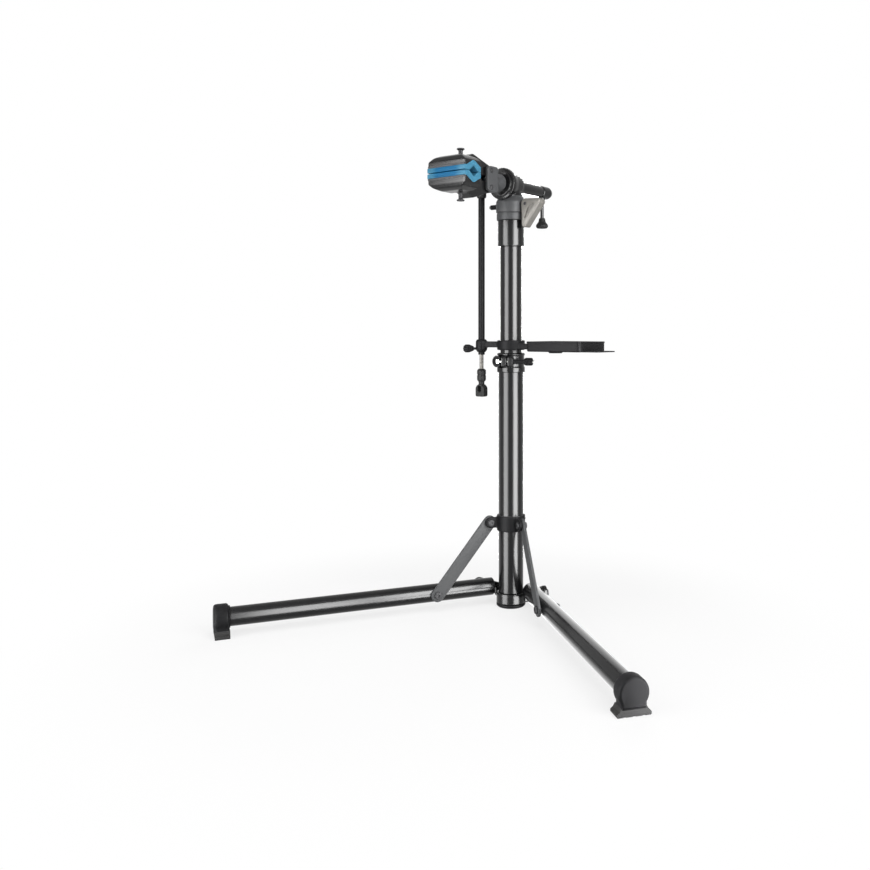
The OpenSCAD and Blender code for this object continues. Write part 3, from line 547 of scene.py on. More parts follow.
class Finish(NamedTuple):
    """What sets a finish apart: rough is its lowest and highest roughness, worn the colour of rubbed edges, which
    on the pads is also the colour of the painted highlight on their outer ends
    """

    colour: tuple
    rough: tuple
    gloss: float
    grain: float
    bump: float
    metal: float = 0.0
    worn: tuple = ()
    wear: float = 0.0
    dust: float = 0.0


def finish_kinds(look):
    """The finishes by the names of their slots."""
    return {
        "black_coat": Finish(look.coat, rough=(0.18, 0.27), gloss=0.2, grain=650, bump=0.03,
                             worn=look.steel, wear=0.06, dust=0.015),
        "grey_coat": Finish(look.grey, rough=(0.42, 0.54), gloss=0.08, grain=700, bump=0.08,
                            worn=look.steel, wear=0.2, dust=0.015),
        "black_plastic": Finish(look.plastic, rough=(0.42, 0.55), gloss=0.03, grain=1100, bump=0.12,
                                worn=look.bush, wear=0.3, dust=0.02),
        "grey_plastic": Finish(look.bush, rough=(0.4, 0.5), gloss=0.2, grain=900, bump=0.08),
        "rubber": Finish(look.rubber, rough=(0.5, 0.65), gloss=0.09, grain=800, bump=0.18,
                         worn=look.bush, wear=0.2, dust=0.04),
        "blue_pad": Finish(look.pad, rough=(0.4, 0.5), gloss=0.04, grain=700, bump=0.06,
                           worn=look.pad_wear_and_painted_highlight, wear=0.6),
        "plated_steel": Finish(look.steel, rough=(0.34, 0.46), gloss=0.5, grain=1500, bump=0.03, metal=1.0),
        "dark_steel": Finish(look.dark_steel, rough=(0.42, 0.54), gloss=0.03, grain=1200, bump=0.05,
                             metal=0.1, worn=look.steel, wear=0.1),
        "light_alloy": Finish(look.alloy, rough=(0.42, 0.54), gloss=0.14, grain=1000, bump=0.1,
                              metal=0.05, worn=look.steel, wear=0.3),
    }


def finish(name):
    """The material of a finish, made once."""
    full_name = name + "_finish"
    if full_name in bpy.data.materials:
        return bpy.data.materials[full_name]
    look = bpy.context.scene.stand_look
    kind = finish_kinds(look)[name]
    material = bpy.data.materials.new(full_name)
    material.use_nodes = True
    tree = material.node_tree
    shader = tree.nodes["Principled BSDF"]
    shader.inputs["Metallic"].default_value = kind.metal
    shader.inputs["Specular IOR Level"].default_value = kind.gloss
    grain = add_group(tree, grain_group(), {"Grain Scale": kind.grain})
    colour = Vector(kind.colour)
    shade = add_mix(tree, colour * TONE_LIGHT, colour * TONE_DARK)
    rough = add(tree, "MapRange", values={"To Min": kind.rough[0], "To Max": kind.rough[1]})
    bump = add(tree, "Bump", values={"Strength": kind.bump, "Distance": GRAIN_STEP})
    top = shade
    # The pads get a painted highlight that makes them paler towards their outer ends
    if name == "blue_pad":
        top = painted_highlight_ends(tree, top, kind.worn)
    if kind.wear:
        rubbing = mask_group("rubbed_edges", sharp_edges, RUB_SCALE, RUB_DETAIL)
        top = laid_over(tree, top, kind.worn, rubbing, kind.wear)
    if kind.dust:
        settling = mask_group("settled_dust", upward_faces, DUST_SCALE, DUST_DETAIL)
        top = laid_over(tree, top, look.dust, settling, kind.dust)
    wire(tree, (grain, "Tone", shade, "Factor"), (top, "Result", shader, "Base Color"),
         (grain, "Tone", rough, "Value"), (rough, "Result", shader, "Roughness"),
         (grain, "Height", bump, "Height"), (bump, "Normal", shader, "Normal"))
    return material


def laid_over(tree, below, colour, mask, amount):
    """Adds a mix that lays a colour over what is below, as far as a mask group shows it."""
    where = add_group(tree, mask, {"Amount": amount})
    over = add_mix(tree, colour)
    wire(tree, (below, "Result", over, "A"), (where, "Mask", over, "Factor"))
    return over


def painted_highlight_ends(tree, shade, highlight_colour):
    """Adds a mix that makes the pads' colour paler towards their outer ends: a painted highlight."""
    place = add(tree, "TexCoord")
    parts = add(tree, "SeparateXYZ")
    away = add(tree, "Math", "ABSOLUTE")
    limits = {"From Min": PAINTED_HIGHLIGHT_START, "From Max": PAINTED_HIGHLIGHT_END, "To Max": PAINTED_HIGHLIGHT_MOST}
    fade = add(tree, "MapRange", values=limits)
    fade.interpolation_type = "SMOOTHSTEP"
    painted_highlight_mix = add_mix(tree, highlight_colour)
    wire(tree, (place, "Object", parts, "Vector"), (parts, "X", away, 0), (away, "Value", fade, "Value"),
         (fade, "Result", painted_highlight_mix, "Factor"), (shade, "Result", painted_highlight_mix, "A"))
    return painted_highlight_mix


# Settings that a user would change

def colour_setting(label, words, default):
    """A colour setting."""
    return FloatVectorProperty(name=label, description=words, default=default, subtype="COLOR", min=0, max=1)


def setting(label, words, default, **more):
    """A number setting."""
    return FloatProperty(name=label, description=words, default=default, **more)


class StandLook(bpy.types.PropertyGroup):
    """Colours of the finishes"""

    coat: colour_setting("Black coat", "Powder coat of the tubes and castings", (0.006, 0.006, 0.0065))
    # Also the colour of the jaws' raised rims, where it is a painted highlight beside the pads
    grey: colour_setting("Grey coat", "Coat of the braces and the clamp body", (0.074, 0.076, 0.079))
    plastic: colour_setting("Black plastic", "Moulded fittings", (0.012, 0.012, 0.013))
    bush: colour_setting("Grey plastic", "Bushes and scuffed plastic", (0.05, 0.05, 0.052))
    rubber: colour_setting("Rubber", "Soles, knob and cradle", (0.009, 0.009, 0.009))
    pad: colour_setting("Pads", "Jaw pads", (0.008, 0.13, 0.285))
    # Worn colour of the pads' rubbed edges, and the colour of the painted highlight on the pads' outer ends
    pad_wear_and_painted_highlight: colour_setting("Pad edges", "Edges of the jaw pads", (0.2, 0.52, 0.62))
    steel: colour_setting("Plated steel", "Screws, pins and rubbed edges", (0.36, 0.36, 0.35))
    dark_steel: colour_setting("Dark steel", "Bolts and nuts", (0.05, 0.05, 0.052))
    alloy: colour_setting("Light alloy", "Lock lever and sliding rod", (0.21, 0.2, 0.182))
    dust: colour_setting("Dust", "Dust on upward faces", (0.42, 0.4, 0.37))
    floor: colour_setting("Floor", "Floor and backdrop", (0.9, 0.9, 0.9))


class StandShape(bpy.types.PropertyGroup):
    """Sizes of the skins, in millimetres"""

    edge: setting("Edge", "Rounding of machined edges", 0.8, min=0.2, max=2)
    voxel: setting("Casting grain", "Fineness of the cast skins", 1.3, min=0.8, max=3)
    rounds: IntProperty(name="Casting softness", description="Smoothing of the cast skins", default=8,
                        min=1, max=30)
    wall: setting("Wall", "Wall of the round tubes", 2.0, min=1, max=4)
    clamp_turn: setting("Clamp turn", "Turn of the height clamp's ears", math.radians(25), subtype="ANGLE")


class StandStudio(bpy.types.PropertyGroup):
    """Camera and lamps"""

    photo: IntProperty(name="Picture", description="Side of the square picture", default=870, subtype="PIXEL")
    focal: setting("Focal length", "Focal length in pixels", 902, subtype="PIXEL")
    centre: setting("Centre", "Pixel column of the straight-ahead view", 542, subtype="PIXEL")
    horizon: setting("Horizon", "Pixel row of the horizon", 331.2, subtype="PIXEL")
    post: setting("Post", "Pixel column of the post's axis", 511, subtype="PIXEL")
    azimuth: setting("Azimuth", "Camera's angle round the post", math.radians(35.1), subtype="ANGLE")
    distance: setting("Distance", "Camera to post", 2.208, unit="LENGTH")
    height: setting("Height", "Camera above the floor", 0.67, unit="LENGTH")
    fill: setting("Fill", "Strength of the room's even light", 0.2)
    left_strip: setting("Left strip", "Power of the left strip lamp in watts", 118, unit="POWER")
    right_strip: setting("Right strip", "Power of the right strip lamp in watts", 190, unit="POWER")
    key: setting("Key", "Power of the broad lamp at the right in watts", 45, unit="POWER")
    side: setting("Side", "Power of the broad lamp at the left in watts", 26, unit="POWER")
    top: setting("Top", "Power of the lamp above in watts", 28, unit="POWER")
    back: setting("Back", "Power of the broad lamp behind in watts", 22, unit="POWER")


# Pieces

BOLT_STEEL = "dark_steel"
MOULDED = "black_plastic"


class STAND_OT_post(bpy.types.Operator):
    """Both post tubes and the foot"""

    bl_idname = "stand.post"
    bl_label = "Post"

    def execute(self, context):
        shape = context.scene.stand_shape
        for node in ("lower_tube", "upper_tube"):
            low, high = span(node)
            radius = half_span(node)
            piece(node, pipe(radius, radius - shape.wall, low.z, high.z, shape.edge, steps=LARGE_ROUND))
        rim = half_span("post_foot")
        top = span("leg_hub")[0].z
        foot = [(0, 0, 0), (rim - 3, 0, 1), (rim, 3, 2), (rim, top, 0.5), (0, top, 0)]
        piece("post_foot", lathe(foot, steps=LARGE_ROUND))
        return {"FINISHED"}


LUG_THICK = 10
LUG_RADIUS = 18
LUG_EDGE = 1.5
WEB_REAR = -8
WEB_FRONT = 18
WEB_TALL = 26
WEB_EDGE = 2.5
LEG_BOLT = {"radius": 9, "height": 5}


def leg_place(side):
    """Matrix at a leg's hinge: X out along the leg, Y to its outer side, Z up. The left one is mirrored."""
    start = hinge(side + "_leg_fold")[0]
    foot = mount(side + "_foot")
    out = Vector((foot.x - start.x, foot.y - start.y, 0)).normalized()
    outer = UP.cross(out) * SIDES[side]
    matrix = Matrix((out, outer, UP)).transposed().to_4x4()
    matrix.translation = start
    return matrix


class STAND_OT_hub(bpy.types.Operator):
    """Leg hub with its two lugs and the leg bolts"""

    bl_idname = "stand.hub"
    bl_label = "Leg Hub"

    def execute(self, context):
        shape = context.scene.stand_shape
        low, high = span("leg_hub")
        tube = half_span("lower_tube")
        solids = [pipe(half_span("post_foot"), tube, low.z, low.z + WEB_TALL, LUG_EDGE)]
        bolts = []
        for side in SIDES:
            place = leg_place(side)
            post = place.inverted() @ Vector((0, 0, low.z))
            lug_out = reach("leg_hub", place.translation, place.col[1].to_3d())[1]
            rear, front = post.x + WEB_REAR, post.x + WEB_FRONT
            top = post.z + WEB_TALL
            lug = [(rear, post.z, 2), (0, -LUG_RADIUS, 0), *arc((0, 0), LUG_RADIUS, -88, 88),
                   (0, LUG_RADIUS, 0), (rear, top, 6)]
            solids.append(plate(lug, 0, LUG_THICK, LUG_EDGE, place @ drawn_in_xz(y=lug_out - LUG_THICK)))
            inner = post.y + tube
            web = [(rear, inner, 0), (front, inner, 0), (front, lug_out, 5), (rear, lug_out, 8)]
            solids.append(plate(web, post.z, top, WEB_EDGE, place))
            bolts.append(hex_head(place @ facing_y(0, lug_out, 0), **LEG_BOLT))
        piece("leg_hub", carved(cast(solids, shape.voxel, shape.rounds), bore(tube, low.z, high.z)))
        piece("leg_pivot_bolts", gather(bolts), BOLT_STEEL)
        return {"FINISHED"}


LEG_NODES = ("_leg_tube", "_leg_root", "_foot_cap", "_foot_sole")
CAP_RADIUS = 29.5
CAP_EDGE = 6
CAP_WALL = 3.2
CAP_STEPS = 40
NECK_HALF = 24.6
NECK_TOP = -24
NECK_ROOT = -29
SOLE_HALF = 33
SOLE_EDGE = 0.5
TREADS = (-18, 0, 18)
TREAD_DEEP = 0.7


class STAND_OT_legs(bpy.types.Operator):
    """Leg tubes, root fittings, foot caps and soles"""

    bl_idname = "stand.legs"
    bl_label = "Legs"

    def execute(self, context):
        shape = context.scene.stand_shape
        for side in SIDES:
            tube, root, cap, sole = (side + node for node in LEG_NODES)
            place = leg_place(side)
            at, out = place.translation, place.col[0].to_3d()
            line = place @ facing_x(0, 0, 0)
            across = place @ drawn_in_yz()
            radius = half_span(tube, axis=2)
            start, end = reach(tube, at, out)
            piece(tube, pipe(radius, radius - shape.wall, start, end, shape.edge, line, LEG_ROUND))
            tip = reach(root, at, out)[0]
            taper = [(0, tip, 0), (radius - 3.4, tip, 1), (radius - 0.2, start - 0.4, 0.8),
                     (radius - 0.2, start, 0), (0, start, 0)]
            piece(root, lathe(taper, line, steps=LEG_ROUND))
            start, end = reach(cap, at, out)
            dome = [*arc((0, 0), CAP_RADIUS, -34, 214, CAP_STEPS),
                    *mirrored([(-NECK_HALF, NECK_TOP, 0), (-NECK_HALF, NECK_ROOT, 0)])]
            shell = plate(dome, start + 2, end - 0.3, CAP_EDGE, across)
            piece(cap, gather([shell, pipe(radius + CAP_WALL, radius, start - 1, start + 6, 1.2, line)]))
            start, end = reach(sole, at, out)
            piece(sole, plate(self.sole(-at.z), start, end, SOLE_EDGE, across))
        return {"FINISHED"}

    def sole(self, floor):
        """Outline of a sole: flared sides, and tread grooves along the underside."""
        flare = mirrored([(SOLE_HALF - 2, floor, 0.6), (SOLE_HALF, floor + 2, 0.6), (SOLE_HALF, floor + 6, 1),
                          (NECK_HALF + 3.2, floor + 10, 6), (NECK_HALF, NECK_TOP, 0)])
        tread = []
        for x in TREADS:
            tread += [(x - 3, floor, 0), (x - 2, floor + TREAD_DEEP, 0), (x + 2, floor + TREAD_DEEP, 0),
                      (x + 3, floor, 0)]
        return [flare[-1], *tread, *flare[:-1]]


BRACE_HALF = 16
BRACE_FACE = 3
BRACE_EDGE = 1.1
BRACE_PLAY = 0.4
COLLAR_WALL = 3
COLLAR_LUG_RADIUS = 13
COLLAR_LUG_THICK = 7.5
COLLAR_LUG_EDGE = 0.8
BRACE_STUD = {"radius": 9, "height": 5, "key": 4}
BRACE_BOLT = {"radius": 9, "height": 5}
PIN_HEAD = {"radius": 8, "height": 4, "key": 3.5}
PIN_NUT = {"radius": 8, "height": 6}


class STAND_OT_braces(bpy.types.Operator):
    """Sliding collar, its knob, both braces and their bolts"""

    bl_idname = "stand.braces"
    bl_label = "Braces"

    def execute(self, context):
        shape = context.scene.stand_shape
        low, high = span("brace_collar")
        liner = span("collar_liner")[1].x
        rim = liner + COLLAR_WALL
        ring = [(liner, low.z, 0.5), (rim, low.z, 1.2), (rim, high.z, 1.2), (liner, high.z, 0.5)]
        solids = [lathe(ring, closed=True, steps=LARGE_ROUND)]
        pins = []
        for side in SIDES:
            top = hinge(side + "_brace_swing")[0]
            leg = leg_place(side)
            out, outer = leg.col[0].to_3d(), leg.col[1].to_3d()
            self.brace(side, top, leg.translation, out, outer)
            lug_face = top - outer * (BRACE_FACE + BRACE_PLAY)
            root = liner - (lug_face - UP * top.z).dot(out) - 2
            lug = [(root, -COLLAR_LUG_RADIUS, 0), *arc((0, 0), COLLAR_LUG_RADIUS, -90, 90),
                   (root, COLLAR_LUG_RADIUS, 0)]
            solids.append(plate(lug, 0, COLLAR_LUG_THICK, COLLAR_LUG_EDGE, along(lug_face, -outer, out)))
            pins.append(hex_head(along(top + outer * (BRACE_FACE + BRACE_PLAY), outer, out), **PIN_NUT))
            pins.append(screw_head(along(lug_face - outer * COLLAR_LUG_THICK, -outer, out), **PIN_HEAD))
        skin = carved(cast(solids, shape.voxel, shape.rounds), bore(liner, low.z, high.z))
        piece("brace_collar", skin, MOULDED)
        piece("brace_pins", gather(pins), BOLT_STEEL)
        self.knob()
        return {"FINISHED"}

    def brace(self, side, top, leg_at, out, outer):
        """Flat bar from its pin at the top to its stud, and the bolt on the leg's outer side."""
        stud = middle(side + "_brace_stud")
        drop = stud - top
        drop -= outer * drop.dot(outer)
        bar = [*arc((0, 0), BRACE_HALF, 90, 270), *arc((drop.length, 0), BRACE_HALF, -90, 90)]
        piece(side + "_brace", plate(bar, -BRACE_FACE, BRACE_FACE, BRACE_EDGE, along(top, outer, drop)))
        stud_place = along(top + drop - outer * BRACE_FACE, -outer, drop)
        piece(side + "_brace_stud", screw_head(stud_place, **BRACE_STUD), BOLT_STEEL)
        far = reach(side + "_leg_tube", leg_at, outer)[1]
        bolt_at = stud + outer * (far - (stud - leg_at).dot(outer))
        piece(side + "_brace_bolt", hex_head(along(bolt_at, outer, out), **BRACE_BOLT), BOLT_STEEL)

    def knob(self):
        """Fluted knob that locks the collar."""
        at, axis = hinge("collar_knob_turn")
        start, end = reach("collar_knob", UP * at.z, axis)
        profile = [(0, start, 0), (3, start, 0.4), (3, start + 6, 0.5), (8, start + 7, 0.8),
                   (14, start + 11, 2), (14, end - 4, 2), (11, end, 2), (0, end - 0.6, 0)]
        piece("collar_knob", lathe(profile, along(UP * at.z, axis), steps=LARGE_ROUND,
                                   flutes=8, flute_depth=1.8, flute_from=9))


SLIT_HALF = 1.5
EAR_HALF = 14
EAR_LONG = 16
EAR_HALF_TALL = 13
EAR_EDGE = 1.2
COLLAR_MELT = {"voxel": 1.0, "rounds": 3}
SKEWER_OUT = 8
SKEWER_DROP = 3
SKEWER_END = 66
NUT_AT = 42
EYE_X = -24
EYE_PIN_STEPS = 32
HANDLE_STEPS = 28
HANDLE_ROWS = 8
HANDLE_TURN = math.radians(76)
HANDLE_OUT = 9.9
HANDLE_BOW = 4.5
HANDLE_BOW_RISE = 3
HANDLE_TALL = 11
HANDLE_TAPER = 3
HANDLE_SWELL = 4
HANDLE_SWELL_FROM = 0.15
HANDLE_THICK = 2.0
HANDLE_FLATNESS = 5
HANDLE_RIM = 0.02


class STAND_OT_height_clamp(bpy.types.Operator):
    """Split collar that holds the upper tube, with its skewer, nut and cam lever"""

    bl_idname = "stand.height_clamp"
    bl_label = "Height Clamp"

    def execute(self, context):
        turn = Matrix.Rotation(context.scene.stand_shape.clamp_turn, 4, "Z")
        low, high = span("height_collar")
        outer, tube, mast = half_span("height_collar"), half_span("lower_tube"), half_span("upper_tube")
        waist = outer - 1.6
        ledge = low.z + 12
        top = span("lower_tube")[1].z
        ring = lathe([(tube, low.z, 0.5), (outer, low.z, 1.5), (outer, ledge, 0.8), (waist, ledge + 1, 0.4),
                      (waist, high.z - 6, 0.6), (outer, high.z - 5, 0.6), (outer, high.z - 2, 1.5),
                      (outer - 2.5, high.z, 1), (mast + 0.6, high.z, 0.5), (mast + 0.6, top, 0),
                      (tube, top, 0)], closed=True, steps=LARGE_ROUND)
        root, end = 1 - outer, -outer - EAR_LONG
        ear = [(end, -EAR_HALF_TALL, 6), (root, -EAR_HALF_TALL, 0), (root, EAR_HALF_TALL, 0),
               (end, EAR_HALF_TALL, 6)]
        y, z = -outer - SKEWER_OUT, top - SKEWER_DROP
        ears = [plate(ear, *faces, EAR_EDGE, turn @ drawn_in_yz(z))
                for faces in ((-EAR_HALF, -SLIT_HALF), (SLIT_HALF, EAR_HALF))]
        slit = block((-SLIT_HALF, end - CUT_PAST, low.z - CUT_PAST),
                     (SLIT_HALF, -mast, high.z + CUT_PAST), turn)
        piece("height_collar", carved(cast([ring, *ears], **COLLAR_MELT), slit))
        line = turn @ facing_x(0, y, z)
        eye_place = turn @ Matrix.Translation((EYE_X, y, z))
        skewer = [turned(3, EYE_X, SKEWER_END, 0.8, line), turned(4.8, -5, 5, 0.8, eye_place)]
        piece("height_skewer", gather(skewer))
        sleeve = [(3, EAR_HALF + 0.2, 0), (6.5, EAR_HALF + 0.2, 0.8), (6.5, EAR_HALF + 4, 0.8),
                  (5.2, EAR_HALF + 5, 0.5), (5.2, NUT_AT - 1, 0.5), (7.5, NUT_AT, 0.5), (9.4, NUT_AT + 3, 1),
                  (9.4, NUT_AT + 17, 1), (8, NUT_AT + 20, 1.5), (3, NUT_AT + 20, 0)]
        piece("height_nut", lathe(sleeve, line, flutes=12, flute_depth=0.9, flute_from=8), MOULDED)
        piece("height_pin", turned(2.9, -13, 13, 0.8, eye_place, EYE_PIN_STEPS), BOLT_STEEL)
        piece("height_lever", placed(self.lever(y, z, outer + HANDLE_OUT), turn))
        return {"FINISHED"}

    def lever(self, eye_y, eye_z, radius):
        """Cam lever: two cheeks round the eye, and a bowed handle that curls round the collar."""
        hub = Matrix.Translation((EYE_X, eye_y, eye_z))
        cheeks = [turned(9.4, low, high, 1.2, hub) for low, high in ((-11, -5.5), (5.5, 11))]
        start = math.atan2(eye_y, EYE_X)
        heights = [step / HANDLE_ROWS - 1 for step in range(2 * HANDLE_ROWS + 1)]
        thick = [HANDLE_THICK * math.sqrt(max(HANDLE_RIM, 1 - abs(height) ** HANDLE_FLATNESS))
                 for height in heights]
        loops = []
        for step in range(HANDLE_STEPS + 1):
            share = step / HANDLE_STEPS
            angle = start - HANDLE_TURN * share
            outward = Vector((math.cos(angle), math.sin(angle), 0))
            swell = HANDLE_SWELL * math.sin(math.pi * min(1, HANDLE_SWELL_FROM + share))
            half_tall = HANDLE_TALL + swell - HANDLE_TAPER * share
            bow = HANDLE_BOW * min(1, HANDLE_BOW_RISE * share)
            rows = [(radius - bow * height * height, height * half_tall) for height in heights]
            outside = [(r + t, z) for (r, z), t in zip(rows, thick)]
            inside = [(r - t, z) for (r, z), t in zip(rows, thick)]
            loops.append([outward * r + UP * (eye_z - share + z) for r, z in outside + inside[::-1]])
        room = block((EYE_X - 6.2, eye_y - 12, eye_z - 5.4), (EYE_X + 30, eye_y + 12, eye_z + 5.4))
        return gather([*cheeks, carved(loft(loops), room)])


HEAD_SCREW = {"radius": 5.5, "height": 4, "key": 2.5}
HEAD_SCREWS_UP = (19, 49)
HEAD_PLAY = 0.5
BARREL_BORE = 14
REAR_RELIEF = 20
RELIEF_LONG = 30
LOCK_NUT_STEPS = 60


class STAND_OT_head(bpy.types.Operator):
    """Head casting, its screws and the cross bolt"""

    bl_idname = "stand.head"
    bl_label = "Head"

    def execute(self, context):
        lock_at, lock_axis = hinge("lock_lever_open")
        mast, neck = half_span("upper_tube"), half_span("head_casting")
        self.upright(mast, neck, lock_at.z)
        self.barrel(neck, lock_at.z, context.scene.stand_shape)
        low = span("head_casting")[0].z
        screws = [screw_head(facing_y(0, mast + 5.6, low + up), **HEAD_SCREW) for up in HEAD_SCREWS_UP]
        piece("socket_screws", gather(screws))
        line = facing_x(0, 0, lock_at.z)
        eye_place = along(lock_at, lock_axis, ALONG_X)
        tail = span("lock_skewer")[0].x
        skewer = [turned(4, tail, lock_at.x, 1, line), turned(7.8, -4.8, 4.8, 1, eye_place)]
        piece("lock_skewer", gather(skewer))
        end = span("lock_nut")[0].x
        nut = lathe([(4, -neck, 0), (9.5, -neck, 0.6), (9.5, -neck - 5, 1), (6, -neck - 6, 0.6), (6, end, 1),
                     (4, end, 0)], line, closed=True, steps=LOCK_NUT_STEPS,
                    flutes=10, flute_depth=0.8, flute_from=8)
        piece("lock_nut", gather([nut, pipe(9.5, 4, neck, neck + 2, 0.4, line)]))
        piece("lock_pin", turned(3.9, -15, 15, 1, eye_place, TINY_ROUND))
        return {"FINISHED"}

    def upright(self, mast, neck, lock_z):
        """Sleeve on the upper tube, and the wider neck above it."""
        low = span("head_casting")[0]
        top = span("upper_tube")[1].z
        seam = top - 4
        band = top + 12
        sleeve = lathe([(mast, low.z, 0.4), (mast + 4.5, low.z, 1), (mast + 6, low.z + 3, 1),
                        (mast + 6, seam, 1.5), (mast, seam, 0)], closed=True, steps=LARGE_ROUND)
        piece("head_casting", sleeve, name="head_sleeve_skin")
        collar = lathe([(mast, seam, 0), (mast + 6, seam, 0), (mast + 9, top - 3, 1), (mast + 9, band, 1),
                        (mast + 7.4, band + 1, 0.5), (mast + 7.4, band + 2.5, 0.5),
                        (neck - 0.4, band + 3.5, 1), (neck, lock_z - 9, 2), (neck, lock_z + 8, 6),
                        (neck - 8, lock_z + 22, 4), (mast, lock_z + 26, 0)], closed=True, steps=LARGE_ROUND)
        detail("head_neck_skin", collar, "mast", "grey_coat")

    def barrel(self, neck, lock_z, shape):
        """Barrel that the arm turns in, grown out of the neck."""
        arm_z = hinge("arm_turn")[0].z
        front = span("turn_disc")[1].y + HEAD_PLAY
        rear = span("rear_ring")[0].y - HEAD_PLAY
        line = facing_y(0, 0, arm_z)
        barrel = lathe([(BARREL_BORE, front, 0), (32.5, front, 2.5), (33, front + 6, 2), (29, front + 22, 10),
                        (27, rear - 7, 4), (26, rear - 5, 1), (26, rear, 2), (BARREL_BORE, rear, 0)], line,
                       closed=True, steps=LARGE_ROUND)
        root = lathe([(0, lock_z - 2, 0), (neck - 2, lock_z - 2, 0), (neck - 2, lock_z + 8, 5),
                      (neck - 9, lock_z + 24, 8), (24, arm_z - 8, 0), (0, arm_z - 8, 0)])
        skin = cast([barrel, root], shape.voxel, shape.rounds)
        skin = carved(skin, turned(half_span("turn_disc") + 1, front - RELIEF_LONG, front, 0, line))
        skin = carved(skin, turned(REAR_RELIEF, rear, rear + RELIEF_LONG, 0, line))
        detail("head_barrel_skin", skin, "mast", "black_coat")


LEVER_HALF = 14
LEVER_EDGE = 4.5
LEVER_STEPS = 12
POCKET_EDGE = 0.3


class STAND_OT_lock_lever(bpy.types.Operator):
    """Cast lever that locks the arm"""

    bl_idname = "stand.lock_lever"
    bl_label = "Lock Lever"

    def execute(self, context):
        at = hinge("lock_lever_open")[0]
        flat = drawn_in_xz(x=at.x, z=at.z)
        hub, lobe, tip = (0, 0), (34, 3), (-5, -50)
        body = [*arc(hub, 13, 95, 175, LEVER_STEPS), *arc(tip, 6, 186, 328, LEVER_STEPS),
                *arc(lobe, 8, -31, 92, LEVER_STEPS)]
        lever = plate(body, -LEVER_HALF, LEVER_HALF, LEVER_EDGE, flat)
        pocket = [(9, -8, 4), (30, 0, 4), (24, -7, 5), (2, -36, 4), (-2, -34, 3)]
        for low, high in ((-16, -10.5), (10.5, 16)):
            lever = carved(lever, plate(pocket, low, high, POCKET_EDGE, flat))
        room = block((at.x - 14, -5.4, at.z - 13), (at.x + 10, 5.4, at.z + 15))
        piece("lock_lever", carved(lever, room))
        return {"FINISHED"}


ARM_WALL = 5
DISC_STEPS = 144
REAR_RING_STEPS = 80
CHEEK_IN = 17
CHEEK_EDGE = 1.2
YOKE_BACK = -83
YOKE_WALL_EDGE = 1.0
YOKE_MELT = {"voxel": 1.1, "rounds": 4}


class STAND_OT_arm(bpy.types.Operator):
    """Turning arm, disc, rear ring and the clamp body with its pins"""

    bl_idname = "stand.arm"
    bl_label = "Arm"

    def execute(self, context):
        axis_z = hinge("arm_turn")[0].z
        line = facing_y(0, 0, axis_z)
        low, high = span("arm_tube")
        radius = half_span("arm_tube")
        edge = context.scene.stand_shape.edge
        piece("arm_tube", pipe(radius, radius - ARM_WALL, low.y, high.y, edge, line))
        low, high = span("turn_disc")
        rim = half_span("turn_disc")
        step = low.y + 6
        disc = lathe([(radius, low.y, 0), (rim - 8, low.y, 1.5), (rim - 6, low.y + 2, 1),
                      (rim - 6, step, 0.6), (rim - 4, step - 0.8, 0.6), (rim, step + 2, 1.5),
                      (rim, high.y, 1), (radius, high.y, 0)], line, closed=True, steps=DISC_STEPS,
                     flutes=36, flute_depth=0.7, flute_from=rim - 1)
        piece("turn_disc", disc)
        low, high = span("rear_ring")
        rim = half_span("rear_ring")
        ring = lathe([(radius, low.y, 0), (rim, low.y, 1), (rim, high.y - 4, 1), (rim - 2.5, high.y, 1.5),
                      (radius, high.y, 0)], line, closed=True, steps=REAR_RING_STEPS)
        piece("rear_ring", ring)
        piece("clamp_body", self.yoke(axis_z, line))
        low, high = span("jaw_pins")
        button = [(0, 0, 0), (6, 0, 0.2), (6, 0.8, 0.4), (4, 2.2, 1.5), (0, 2.5, 0)]
        pins = []
        for joint in ("upper_jaw_open", "lower_jaw_open"):
            at = hinge(joint)[0]
            pins.append(turned(4, low.x + 1, high.x - 1, 0.5, facing_x(0, at.y, at.z)))
            for way in (-1, 1):
                place = along((way * (high.x - 2.5), at.y, at.z), (way, 0, 0), UP)
                pins.append(lathe(button, place, steps=TINY_ROUND))
        piece("jaw_pins", gather(pins), BOLT_STEEL)
        return {"FINISHED"}

    def yoke(self, axis_z, line):
        """Clamp body: two cheeks, a back wall and a round neck."""
        low, high = span("clamp_body")
        tall = high.z - axis_z
        front, back, neck_end = low.y, YOKE_BACK, high.y
        side = [(front, -tall + 4, 5), (front + 12, -tall, 6), (back, -tall, 5), (back, tall, 5),
                (front + 12, tall, 6), (front, tall - 4, 5)]
        wall = [(back - 5, -tall, 1), (back + 3, -tall + 6, 3), (back + 3, tall - 6, 3), (back - 5, tall, 1)]
        neck = [(0, back - 3, 0), (24, back, 4), (21, back + 9, 6), (21, neck_end, 1), (0, neck_end, 0)]
        upright = drawn_in_yz(axis_z)
        cheeks = ((-high.x, -CHEEK_IN), (CHEEK_IN, high.x))
        solids = [plate(side, *faces, CHEEK_EDGE, upright) for faces in cheeks]
        solids.append(plate(wall, 1 - high.x, high.x - 1, YOKE_WALL_EDGE, upright))
        solids.append(lathe(neck, line))
        return cast(solids, **YOKE_MELT)


CRANK_MELT = {"voxel": 1.0, "rounds": 6}
KNOB_STEPS = 80


